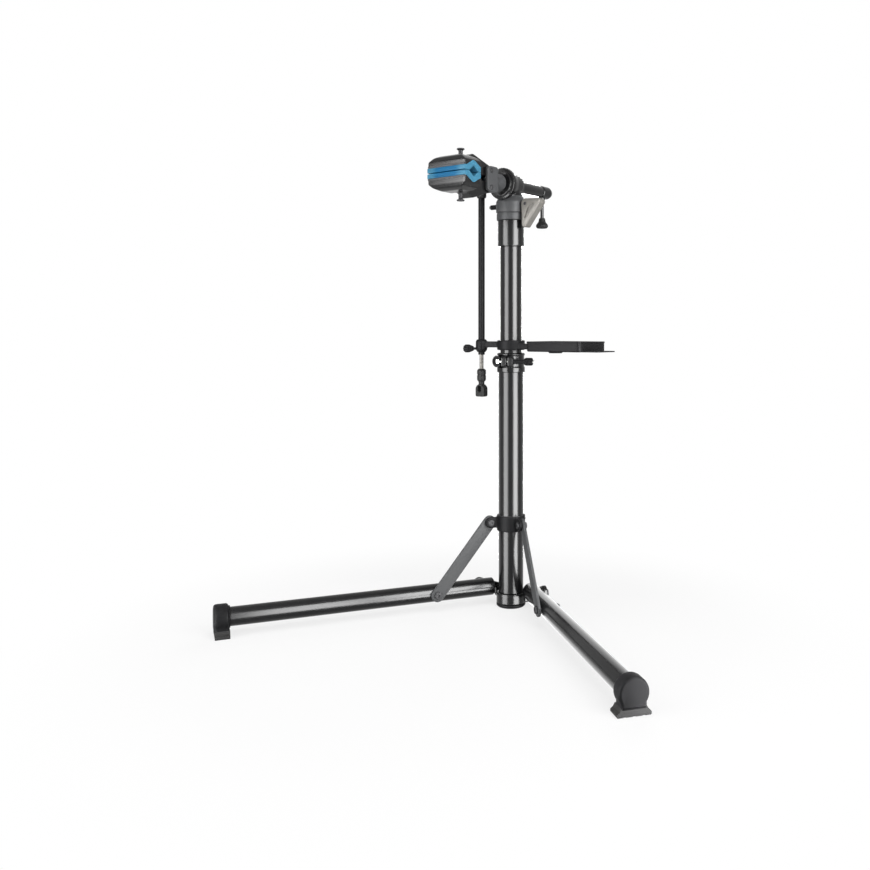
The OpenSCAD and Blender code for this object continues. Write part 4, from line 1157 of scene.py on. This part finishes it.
class STAND_OT_crank(bpy.types.Operator):
    """Crank hub, stem and knob"""

    bl_idname = "stand.crank"
    bl_label = "Crank"

    def execute(self, context):
        axis_z = hinge("crank_turn")[0].z
        low, high = span("crank_arm")
        hub = lathe([(0, low.y, 0), (14.6, low.y, 1.2), (16, low.y + 2, 1.5), (16, high.y - 14, 12),
                     (11, high.y - 3, 6), (0, high.y, 0)], facing_y(0, 0, axis_z))
        stem_place = Matrix.Translation((0, middle("crank_knob").y, axis_z))
        stem = [(0, -78, 0), (4.5, -78, 0.5), (4.5, -30, 20), (6.5, -22, 10), (10, -11, 4), (0, -11, 0)]
        piece("crank_arm", cast([hub, lathe(stem, stem_place)], **CRANK_MELT))
        rim = half_span("crank_knob")
        base = span("crank_knob")[0].z - axis_z
        knob = lathe([(0, base + 0.8, 0), (rim - 3, base, 2), (rim, base + 4, 2.5), (rim, base + 8, 3),
                      (rim - 6.5, base + 17, 9), (8, base + 24, 3), (7, base + 26, 0.8), (0, base + 26, 0)],
                     stem_place, steps=KNOB_STEPS, flutes=10, flute_depth=0.8, flute_from=rim - 1.5)
        piece("crank_knob", knob)
        return {"FINISHED"}


JAW_LIFT = {"upper": 1, "lower": -1}
JAW_ARM_HALF = 16.4
JAW_ARM_EDGE = 1.5
JAW_MELT = {"voxel": 1.3, "rounds": 5}
CARRIER_EDGE = 0.5
DOME_EDGE = 0.2
# Raised rim beside each pad, in the lighter grey coat: a painted highlight along the carrier's front edge
HIGHLIGHT_RIM_EDGE = 1.2
HIGHLIGHT_RIM_PROUD = 0.6
CROWN = 40
PAD_LIP = 11.5
PAD_APEX = 24
PAD_FLAT = 3
PAD_WIDE = 24.5
PAD_EDGE = 0.5
BED_PLAY = 0.2
CUT_EDGE = 0.1
GROOVE_WIDE = 15
GROOVE_DEEP = 12
RIBS = 7
PARTING = 0.4
MOUTH = 1.2
MOUTH_LONG = 10
PAD_SCREW_STEPS = 60


class STAND_OT_jaws(bpy.types.Operator):
    """Moulded jaws, blue pads and pad screws"""

    bl_idname = "stand.jaws"
    bl_label = "Jaws"

    def execute(self, context):
        centre = mount("jaw_channel")
        for name, lift in JAW_LIFT.items():
            jaw, pad, screw = (name + end for end in ("_jaw", "_pad", "_pad_screw"))
            upright = drawn_in_yz(centre.z, lift)
            crosswise = drawn_in_xz(z=centre.z, lift=lift)
            low, high = span(pad)
            front, back = low.y + 1, high.y
            half = span(jaw)[1].x
            screw_y = middle(screw).y
            arm = plate(self.side(front, back), -JAW_ARM_HALF, JAW_ARM_HALF, JAW_ARM_EDGE, upright)
            carrier = self.carrier(half, front, back, upright, crosswise)
            boss = lathe([(0, 30, 0), (10, 30, 0), (9, CROWN + 1.5, 1.5), (0, CROWN + 1.5, 0)],
                         upright @ facing_y(screw_y, 0, 0))
            bed = plate(self.bed(centre.y), -half - CUT_PAST, half + CUT_PAST, CUT_EDGE, upright)
            piece(jaw, carved(cast([arm, carrier, boss], **JAW_MELT), bed))
            # A raised rim in grey coat beside the pad: a painted highlight along the carrier's front edge
            painted_highlight_strip = plate(self.rim(low.y + 0.4), -half - HIGHLIGHT_RIM_PROUD, half + HIGHLIGHT_RIM_PROUD, HIGHLIGHT_RIM_EDGE, upright)
            detail(name + "_jaw_rim", painted_highlight_strip, BODY_OF[jaw], "grey_coat")
            piece(pad, plate(self.pad(centre.y, low.y, high.y), -high.x, high.x, PAD_EDGE, upright))
            low, high = span(screw)
            top = (high.z - centre.z) if lift > 0 else (centre.z - low.z)
            place = Matrix.Translation((0, screw_y, centre.z)) @ Matrix.Scale(lift, 4, UP)
            piece(screw, lathe(self.screw(top), place, steps=PAD_SCREW_STEPS), BOLT_STEEL)
        return {"FINISHED"}

    def nose(self, front):
        """Front of the carrier, seen from the side."""
        return [(front, PAD_LIP, 1), (front, PAD_LIP + 14, 7), (front + 5, CROWN - 5, 8),
                (front + 17, CROWN, 12)]

    def side(self, front, back):
        """Outline of the jaw, from its nose back to its pin."""
        return [*self.nose(front), (back + 1, CROWN, 10), (back + 20, CROWN + 11, 9), (-112, 34, 14),
                (-98, 29, 6), (-88, 24, 4), (-86, 13, 1.5), (-96, 9.5, 3), (-112, 6, 6), (back + 5, 4, 2),
                (back, PAD_LIP, 0.5)]

    def carrier(self, half, front, back, upright, crosswise):
        """Wide domed part of the jaw that holds the pad."""
        outline = [*self.nose(front), (back + 3, CROWN, 8), (back + 3, PAD_LIP, 2)]
        section = mirrored([(half, 0, 0), (half, PAD_APEX + 1, 6), (half - 10, CROWN - 7, 10),
                            (half - 28, CROWN + 1, 16)])
        wide = plate(outline, -half - 2, half + 2, CARRIER_EDGE, upright)
        return carved(wide, plate(section, front - 1, back + 4, DOME_EDGE, crosswise), "INTERSECT")

    def bed(self, channel):
        """Outline of the hollow that the pad fills."""
        return [(channel - PAD_WIDE, PAD_LIP, 0), (channel - PAD_FLAT, PAD_APEX + BED_PLAY, 2),
                (channel + PAD_FLAT, PAD_APEX + BED_PLAY, 2), (channel + PAD_WIDE, PAD_LIP, 0),
                (channel + PAD_WIDE, 0, 0), (channel - PAD_WIDE, 0, 0)]

    def rim(self, front):
        """Outline of the raised rim along the carrier's front edge, beside the pad, whose lighter grey coat is a
        painted highlight.
        """
        return [(front, PAD_LIP + 0.2, 0.4), (front, PAD_LIP + 4.8, 1.2), (front + 5, PAD_LIP + 5.2, 0.4),
                (front + 5, PAD_LIP + 0.2, 0.4)]

    def pad(self, channel, front, back):
        """Outline of a pad with lips, an open mouth in front and a ribbed groove that bites the tube."""
        slope = []
        for step in range(RIBS):
            share = step / RIBS
            away, z = GROOVE_WIDE * (1 - share), PARTING + (GROOVE_DEEP - PARTING) * share
            slope += [(away, z), (away - 0.9, z + 1.4)]
        behind = [(channel + away, z, 0) for away, z in slope]
        before = [(channel - away, z, 0) for away, z in reversed(slope)]
        return [(front, MOUTH, 0.8), (front, PAD_LIP, 1.2), (channel - PAD_WIDE, PAD_LIP, 1),
                (channel - PAD_FLAT, PAD_APEX, 2), (channel + PAD_FLAT, PAD_APEX, 2), (back, PAD_LIP, 1),
                (back, PARTING, 0.8), *behind, (channel, GROOVE_DEEP, 0), *before,
                (front + MOUTH_LONG, PARTING, 3)]

    def screw(self, top):
        """Profile of a pad screw with a wide head and a small socket."""
        return [(0, CROWN - 6, 0), (6, CROWN - 6, 0), (6, CROWN + 2, 0.5), (5, CROWN + 3, 0.5),
                (5, top - 5, 1.5), (8.6, top - 3, 0.6), (9, top - 2, 0.5), (9, top - 1, 0.5), (8, top, 0.5),
                (3.2, top, 0.3), (2.8, top - 1.6, 0), (0, top - 1.6, 0)]


TRAY_LIP = 38
TRAY_CORNER = 12
TRAY_CORNER_LEAST = 1.5
TRAY_CORNER_STEPS = 8
TRAY_FLOOR = 4
LIP_HALF = 40
LIP_LAP = 10
LIP_THICK = 2.5
LIP_EDGE = 0.6
BOSS_AT = 48
ARM_START = 20
ARM_EDGE = 1.5
RING_PLAY = 0.05
CLIP_HOLE = 3.05
CLIP_HOLE_LONG = 20


class STAND_OT_tray(bpy.types.Operator):
    """Tray, its ring and arms"""

    bl_idname = "stand.tray"
    bl_label = "Tray"

    def execute(self, context):
        shape = context.scene.stand_shape
        piece("tray_dish", self.dish(), MOULDED)
        low, high = span("tray_ring")
        mast = half_span("upper_tube")
        bar = middle("bar_tube")
        bar_place = Matrix.Translation((bar.x, bar.y, 0))
        edge = span("tray_dish")[0].x
        floor = span("tray_dish")[0].z + TRAY_FLOOR
        ring = [(mast - 3, floor + 2, 0), (mast + 8, floor + 2, 2), (mast + 8, floor + 26, 2),
                (mast - 3, floor + 26, 0)]
        tray_arm = [(ARM_START, -14, 2), (edge - 6, -14, 2), (edge - 0.2, -18, 1), (edge - 0.2, 18, 1),
                    (edge - 6, 14, 2), (ARM_START, 14, 2)]
        away = Vector((bar.x, bar.y, 0))
        bar_arm = [(ARM_START, -7, 1), (away.length, -7, 1), (away.length, 7, 1), (ARM_START, 7, 1)]
        clip = [(0, low.z, 0), (10, low.z, 3), (14.3, low.z + 7, 4), (14.3, high.z - 5, 4), (11, high.z, 2),
                (0, high.z, 0)]
        solids = [lathe(ring, closed=True, steps=LARGE_ROUND),
                  plate(tray_arm, floor + 4, floor + 18, ARM_EDGE),
                  plate(bar_arm, floor + 8, floor + 23, ARM_EDGE, along((0, 0, 0), UP, away)),
                  lathe(clip, bar_place)]
        at, axis = hinge("clip_screw_turn")
        inside = Vector((bar.x, bar.y, at.z))
        line = along(inside, axis)
        skin = carved(cast(solids, shape.voxel, shape.rounds), bore(mast + RING_PLAY, low.z, high.z))
        skin = carved(skin, bore(half_span("bar_tube"), low.z, high.z, bar_place, SMALL_ROUND))
        piece("tray_ring", carved(skin, turned(CLIP_HOLE, 0, CLIP_HOLE_LONG, 0, line)))
        start, end = reach("clip_screw", inside, axis)
        knob = [(0, start, 0), (3, start, 0.3), (3, start + 13, 0.5), (6, start + 15, 1), (8, start + 20, 3),
                (10, start + 26, 3), (10, end - 3, 2), (8, end, 2), (0, end - 0.4, 0)]
        piece("clip_screw", lathe(knob, line, flutes=8, flute_depth=1.2, flute_from=7))
        return {"FINISHED"}

    def dish(self):
        """Pressed tray with a rounded floor, a rolled rim and a tool lip."""
        low, high = span("tray_dish")
        floor, top = low.z + TRAY_FLOOR, high.z
        start, end = low.x, low.x + (high.x - low.x - TRAY_LIP)

        def ring(inward, z):
            """Rounded rectangle at a height, moved inwards."""
            corner = max(TRAY_CORNER_LEAST, TRAY_CORNER - inward)
            side = high.y - inward
            near, far = start + inward, end - inward
            box = [(near, -side, corner), (far, -side, corner), (far, side, corner), (near, side, corner)]
            return [Vector((p.x, p.y, z)) for p in softened(box, True, TRAY_CORNER_STEPS)]
        levels = ((5, floor), (2.6, floor + 0.7), (1.2, floor + 2.4), (1.2, top - 4), (0.2, top - 3.6),
                  (0, top - 2), (0.2, top - 0.5), (1, top), (2.4, top), (3, top - 0.8), (3, floor + 4),
                  (3.8, floor + 2.6), (6, floor + 2))
        root = end - LIP_LAP
        lip = [(root, -LIP_HALF, 2), (high.x, -LIP_HALF, 11), (high.x, LIP_HALF, 11), (root, LIP_HALF, 2)]
        boss = [(0, low.z, 0), (15, low.z, 1.5), (17, low.z + 2.5, 1), (17, floor + 0.5, 0),
                (0, floor + 0.5, 0)]
        return gather([loft([ring(*level) for level in levels]),
                       plate(lip, floor, floor + LIP_THICK, LIP_EDGE),
                       lathe(boss, Matrix.Translation((start + BOSS_AT, 0, 0)))])


BAR_WALL = 3
BAR_STEPS = 56
LOOP_DROP = 51
LOOP_HALF = 13
LOOP_FACE = 9
LOOP_EDGE = 2
HOLE_TOP = 47
HOLE_END = 53
HOLE_HALF = 5.5
HOLE_STEPS = 20
HOLE_FACE = 12
CRADLE_MELT = {"voxel": 0.9, "rounds": 4}


class STAND_OT_bar(bpy.types.Operator):
    """Handlebar bar: outer tube, cap, sliding rod and strap loop"""

    bl_idname = "stand.bar"
    bl_label = "Bar"

    def execute(self, context):
        low, high = span("bar_tube")
        radius = half_span("bar_tube")
        centre = middle("bar_tube")
        post = Matrix.Translation((centre.x, centre.y, 0))
        piece("bar_tube", pipe(radius, radius - BAR_WALL, low.z, high.z, 0.6, post, BAR_STEPS), MOULDED)
        low, high = span("bar_cap")
        rim = half_span("bar_cap")
        cap = [(radius - 0.1, low.z, 0), (radius + 2, low.z, 1), (rim, low.z + 3, 1.5), (rim, low.z + 16, 4),
               (radius + 1, low.z + 23, 5), (0, high.z, 0)]
        piece("bar_cap", lathe(cap, post, steps=BAR_STEPS))
        low, high = span("bar_rod")
        piece("bar_rod", turned(half_span("bar_rod"), low.z, high.z, 0.8, post), "light_alloy")
        low, high = span("bar_cradle")
        top = high.z
        collar = [(0, top, 0), (7.5, top, 2), (11, top - 4, 3), (11, top - 13, 1), (10, top - 14, 0.5),
                  (10, top - 16, 0.5), (11, top - 17, 1), (11, top - 28, 4), (7.4, top - 32, 3),
                  (7, top - 41, 0), (0, top - 41, 0)]
        loop = [*arc((0, top - LOOP_DROP), LOOP_HALF, 0, 180), (-LOOP_HALF, low.z, 4), (LOOP_HALF, low.z, 4)]
        hole = [*arc((0, top - HOLE_TOP), HOLE_HALF, 0, 180, HOLE_STEPS),
                *arc((0, top - HOLE_END), HOLE_HALF, 180, 360, HOLE_STEPS)]
        flat = post @ drawn_in_xz()
        skin = cast([lathe(collar, post), plate(loop, -LOOP_FACE, LOOP_FACE, LOOP_EDGE, flat)], **CRADLE_MELT)
        piece("bar_cradle", carved(skin, plate(hole, -HOLE_FACE, HOLE_FACE, CUT_EDGE, flat)))
        return {"FINISHED"}


class STAND_OT_inner(bpy.types.Operator):
    """Finishes of the pieces that keep their own shape"""

    bl_idname = "stand.inner"
    bl_label = "Inner Pieces"

    def execute(self, context):
        for node, part in frame["nodes"].items():
            if part.hide_render:
                continue
            part.data.materials.clear()
            part.data.materials.append(finish(SLOT_OF[node]))
        return {"FINISHED"}


# Studio, in metres and watts

class ShinePanel(NamedTuple):
    """A lamp for reflections that shines on named pieces alone"""

    name: str
    place: tuple
    aim: tuple
    width: float
    height: float
    power: float
    pieces: tuple


class SoftLamp(NamedTuple):
    """A broad lamp without reflections; turn is its angle from the camera's, in degrees"""

    name: str
    power: str
    turn: float
    away: float
    height: float


FAR_LEG = ("left_leg_tube_skin",)
NEAR_LEG = ("right_leg_tube_skin",)
UPRIGHT_PIECES = ("lower_tube_skin", "upper_tube_skin", "head_sleeve_skin", "arm_tube_skin",
                  "head_barrel_skin")
SHINE_PANELS = (
    ShinePanel("far_leg_panel", (1.01, -1.06, 0.5), (-0.28, -0.45, 0.5), 0.62, 1.8, 100, FAR_LEG),
    ShinePanel("near_leg_back", (-0.32, 0.85, 0.3), (0.3, -0.24, 0.3), 0.9, 1.5, 7, NEAR_LEG),
    ShinePanel("near_leg_floor", (-0.3, -0.1, -0.6), (0.3, -0.24, 0.05), 2.0, 1.0, 8, NEAR_LEG),
    ShinePanel("back_strip", (-0.805, 1.145, 0.6), (0, 0, 0.6), 0.45, 1.7, 75, UPRIGHT_PIECES),
)
SOFT_LAMPS = (
    SoftLamp("key_lamp", "key", turn=40, away=2.4, height=1.5),
    SoftLamp("side_lamp", "side", turn=-60, away=2.4, height=1.3),
    SoftLamp("back_lamp", "back", turn=170, away=2.6, height=1.4),
    SoftLamp("top_lamp", "top", turn=-10, away=0.8, height=3.0),
)
SOFT_SIZE = 1.8
SOFT_AIM = 0.5
STRIP_TURNS = {"left_strip": -48, "right_strip": 44.5}
STRIP_AWAY = 1.25
STRIP_HIGH = 0.38
STRIP_WIDE = 0.9
STRIP_TALL = 1.9
FLOOR_HALF = 12.0
FLOOR_ROUGH = 0.9
SHADOW_CENTRE = (0.05, -0.25, 0)
SHADOW_NEAR = 0.5
SHADOW_FAR = 0.95
SHADOW_LIGHT = 0.74


def area_lamp(name, place, aim, width, height, power):
    """A lamp that points from place to aim."""
    data = bpy.data.lights.new(name, "AREA")
    data.shape = "RECTANGLE"
    data.size = width
    data.size_y = height
    data.energy = power
    lamp = bpy.data.objects.new(name, data)
    lamp.location = place
    lamp.rotation_mode = "QUATERNION"
    lamp.rotation_quaternion = (aim - place).to_track_quat("-Z", "Y")
    lamp.visible_camera = False
    bpy.context.scene.collection.objects.link(lamp)
    return lamp


def shine_on(lamp, pieces):
    """Lets a lamp shine on the named pieces alone."""
    lit = bpy.data.collections.new(lamp.name + "_pieces")
    for name in pieces:
        lit.objects.link(bpy.data.objects[name])
    lamp.light_linking.receiver_collection = lit


def round_post(azimuth, distance, height):
    """A place round the post, at an angle as the camera's."""
    return Vector((math.sin(azimuth) * distance, -math.cos(azimuth) * distance, height))


def seen_rays(tree):
    """Adds what is one for the rays that show a picture, and zero for those that carry light."""
    paths = add(tree, "LightPath")
    seen = add(tree, "Math", "MAXIMUM")
    through = add(tree, "Math", "MAXIMUM")
    wire(tree, (paths, "Is Camera Ray", seen, 0), (paths, "Is Glossy Ray", seen, 1),
         (seen, "Value", through, 0), (paths, "Is Transmission Ray", through, 1))
    return through


class STAND_OT_studio(bpy.types.Operator):
    """Floor, room light, lamps and camera"""

    bl_idname = "stand.studio"
    bl_label = "Studio"

    def execute(self, context):
        scene = context.scene
        studio = scene.stand_studio
        self.floor(scene)
        self.room(scene)
        for name, turn in STRIP_TURNS.items():
            place = round_post(studio.azimuth + math.radians(turn), STRIP_AWAY, STRIP_HIGH)
            strip = area_lamp(name, place, UP * STRIP_HIGH, STRIP_WIDE, STRIP_TALL, getattr(studio, name))
            strip.visible_diffuse = False
        for panel in SHINE_PANELS:
            lamp = area_lamp(panel.name, Vector(panel.place), Vector(panel.aim), panel.width, panel.height,
                             panel.power)
            lamp.visible_diffuse = False
            shine_on(lamp, panel.pieces)
        for soft in SOFT_LAMPS:
            place = round_post(studio.azimuth + math.radians(soft.turn), soft.away, soft.height)
            power = getattr(studio, soft.power)
            lamp = area_lamp(soft.name, place, UP * SOFT_AIM, SOFT_SIZE, SOFT_SIZE, power)
            lamp.visible_glossy = False
        self.camera(scene)
        scene.view_settings.view_transform = "Standard"
        return {"FINISHED"}

    def floor(self, scene):
        """A wide pale floor that keeps the shadow near the stand and turns white further out."""
        corners = [(-FLOOR_HALF, -FLOOR_HALF, 0), (FLOOR_HALF, -FLOOR_HALF, 0), (FLOOR_HALF, FLOOR_HALF, 0),
                   (-FLOOR_HALF, FLOOR_HALF, 0)]
        mesh = bpy.data.meshes.new("floor")
        mesh.from_pydata(corners, [], [range(len(corners))])
        floor = bpy.data.objects.new("floor", mesh)
        scene.collection.objects.link(floor)
        material = bpy.data.materials.new("floor_paint")
        material.use_nodes = True
        tree = material.node_tree
        paint = tree.nodes["Principled BSDF"]
        paint.inputs["Base Color"].default_value = (*scene.stand_look.floor, 1)
        paint.inputs["Roughness"].default_value = FLOOR_ROUGH
        paint.inputs["Specular IOR Level"].default_value = 0.0
        white = add(tree, "Emission")
        place = add(tree, "TexCoord")
        away = add(tree, "VectorMath", "DISTANCE", {1: SHADOW_CENTRE})
        limits = {"From Min": SHADOW_NEAR, "From Max": SHADOW_FAR, "To Min": SHADOW_LIGHT}
        fade = add(tree, "MapRange", values=limits)
        fade.interpolation_type = "SMOOTHSTEP"
        shown = add(tree, "Math", "MULTIPLY")
        mix = add(tree, "MixShader")
        wire(tree, (place, "Object", away, 0), (away, "Value", fade, "Value"), (fade, "Result", shown, 0),
             (seen_rays(tree), "Value", shown, 1), (shown, "Value", mix, "Fac"), (paint, "BSDF", mix, 1),
             (white, "Emission", mix, 2), (mix, "Shader", tree.nodes["Material Output"], "Surface"))
        mesh.materials.append(material)
        floor.visible_glossy = False
        floor.visible_shadow = False

    def room(self, scene):
        """White to the camera and in reflections, even grey as light."""
        world = bpy.data.worlds.new("room")
        scene.world = world
        world.use_nodes = True
        tree = world.node_tree
        background = tree.nodes["Background"]
        background.inputs["Color"].default_value = (1, 1, 1, 1)
        strength = add(tree, "MapRange", values={"To Min": scene.stand_studio.fill})
        wire(tree, (seen_rays(tree), "Value", strength, "Value"),
             (strength, "Result", background, "Strength"))

    def camera(self, scene):
        """Level camera with the photograph's place, lens and shift."""
        studio = scene.stand_studio
        half = studio.photo / 2
        data = bpy.data.cameras.new("camera")
        data.lens = studio.focal / studio.photo * data.sensor_width
        data.shift_x = (half - studio.centre) / studio.photo
        data.shift_y = (studio.horizon - half) / studio.photo
        right = Vector((math.cos(studio.azimuth), math.sin(studio.azimuth), 0))
        aside = (studio.centre - studio.post) / studio.focal * studio.distance
        camera = bpy.data.objects.new("camera", data)
        camera.location = round_post(studio.azimuth, studio.distance, studio.height) + right * aside
        camera.rotation_euler = (math.radians(90), 0, studio.azimuth)
        scene.collection.objects.link(camera)
        scene.camera = camera


class STAND_PT_panel(bpy.types.Panel):
    """Buttons that build the stand"""

    bl_idname = "STAND_PT_panel"
    bl_label = "Repair Stand"
    bl_space_type = "VIEW_3D"
    bl_region_type = "UI"
    bl_category = "Repair Stand"

    def draw(self, context):
        for operator in OPERATORS:
            self.layout.operator(operator.bl_idname)


SETTINGS = (("stand_look", StandLook), ("stand_shape", StandShape), ("stand_studio", StandStudio))
OPERATORS = (STAND_OT_post, STAND_OT_hub, STAND_OT_legs, STAND_OT_braces, STAND_OT_height_clamp,
             STAND_OT_head, STAND_OT_lock_lever, STAND_OT_arm, STAND_OT_crank, STAND_OT_jaws, STAND_OT_tray,
             STAND_OT_bar, STAND_OT_inner, STAND_OT_studio)


def register():
    """Registers the settings, operators and panel."""
    for name, group in SETTINGS:
        bpy.utils.register_class(group)
        setattr(bpy.types.Scene, name, PointerProperty(type=group))
    for operator in OPERATORS:
        bpy.utils.register_class(operator)
    bpy.utils.register_class(STAND_PT_panel)


def unregister():
    """Removes what register added."""
    bpy.utils.unregister_class(STAND_PT_panel)
    for operator in reversed(OPERATORS):
        bpy.utils.unregister_class(operator)
    for name, group in reversed(SETTINGS):
        delattr(bpy.types.Scene, name)
        bpy.utils.unregister_class(group)


def main():
    """Builds the whole scene."""
    register()
    for operator in OPERATORS:
        family, action = operator.bl_idname.split(".")
        getattr(getattr(bpy.ops, family), action)()
    bpy.context.view_layer.update()


if __name__ == "__main__":
    main()
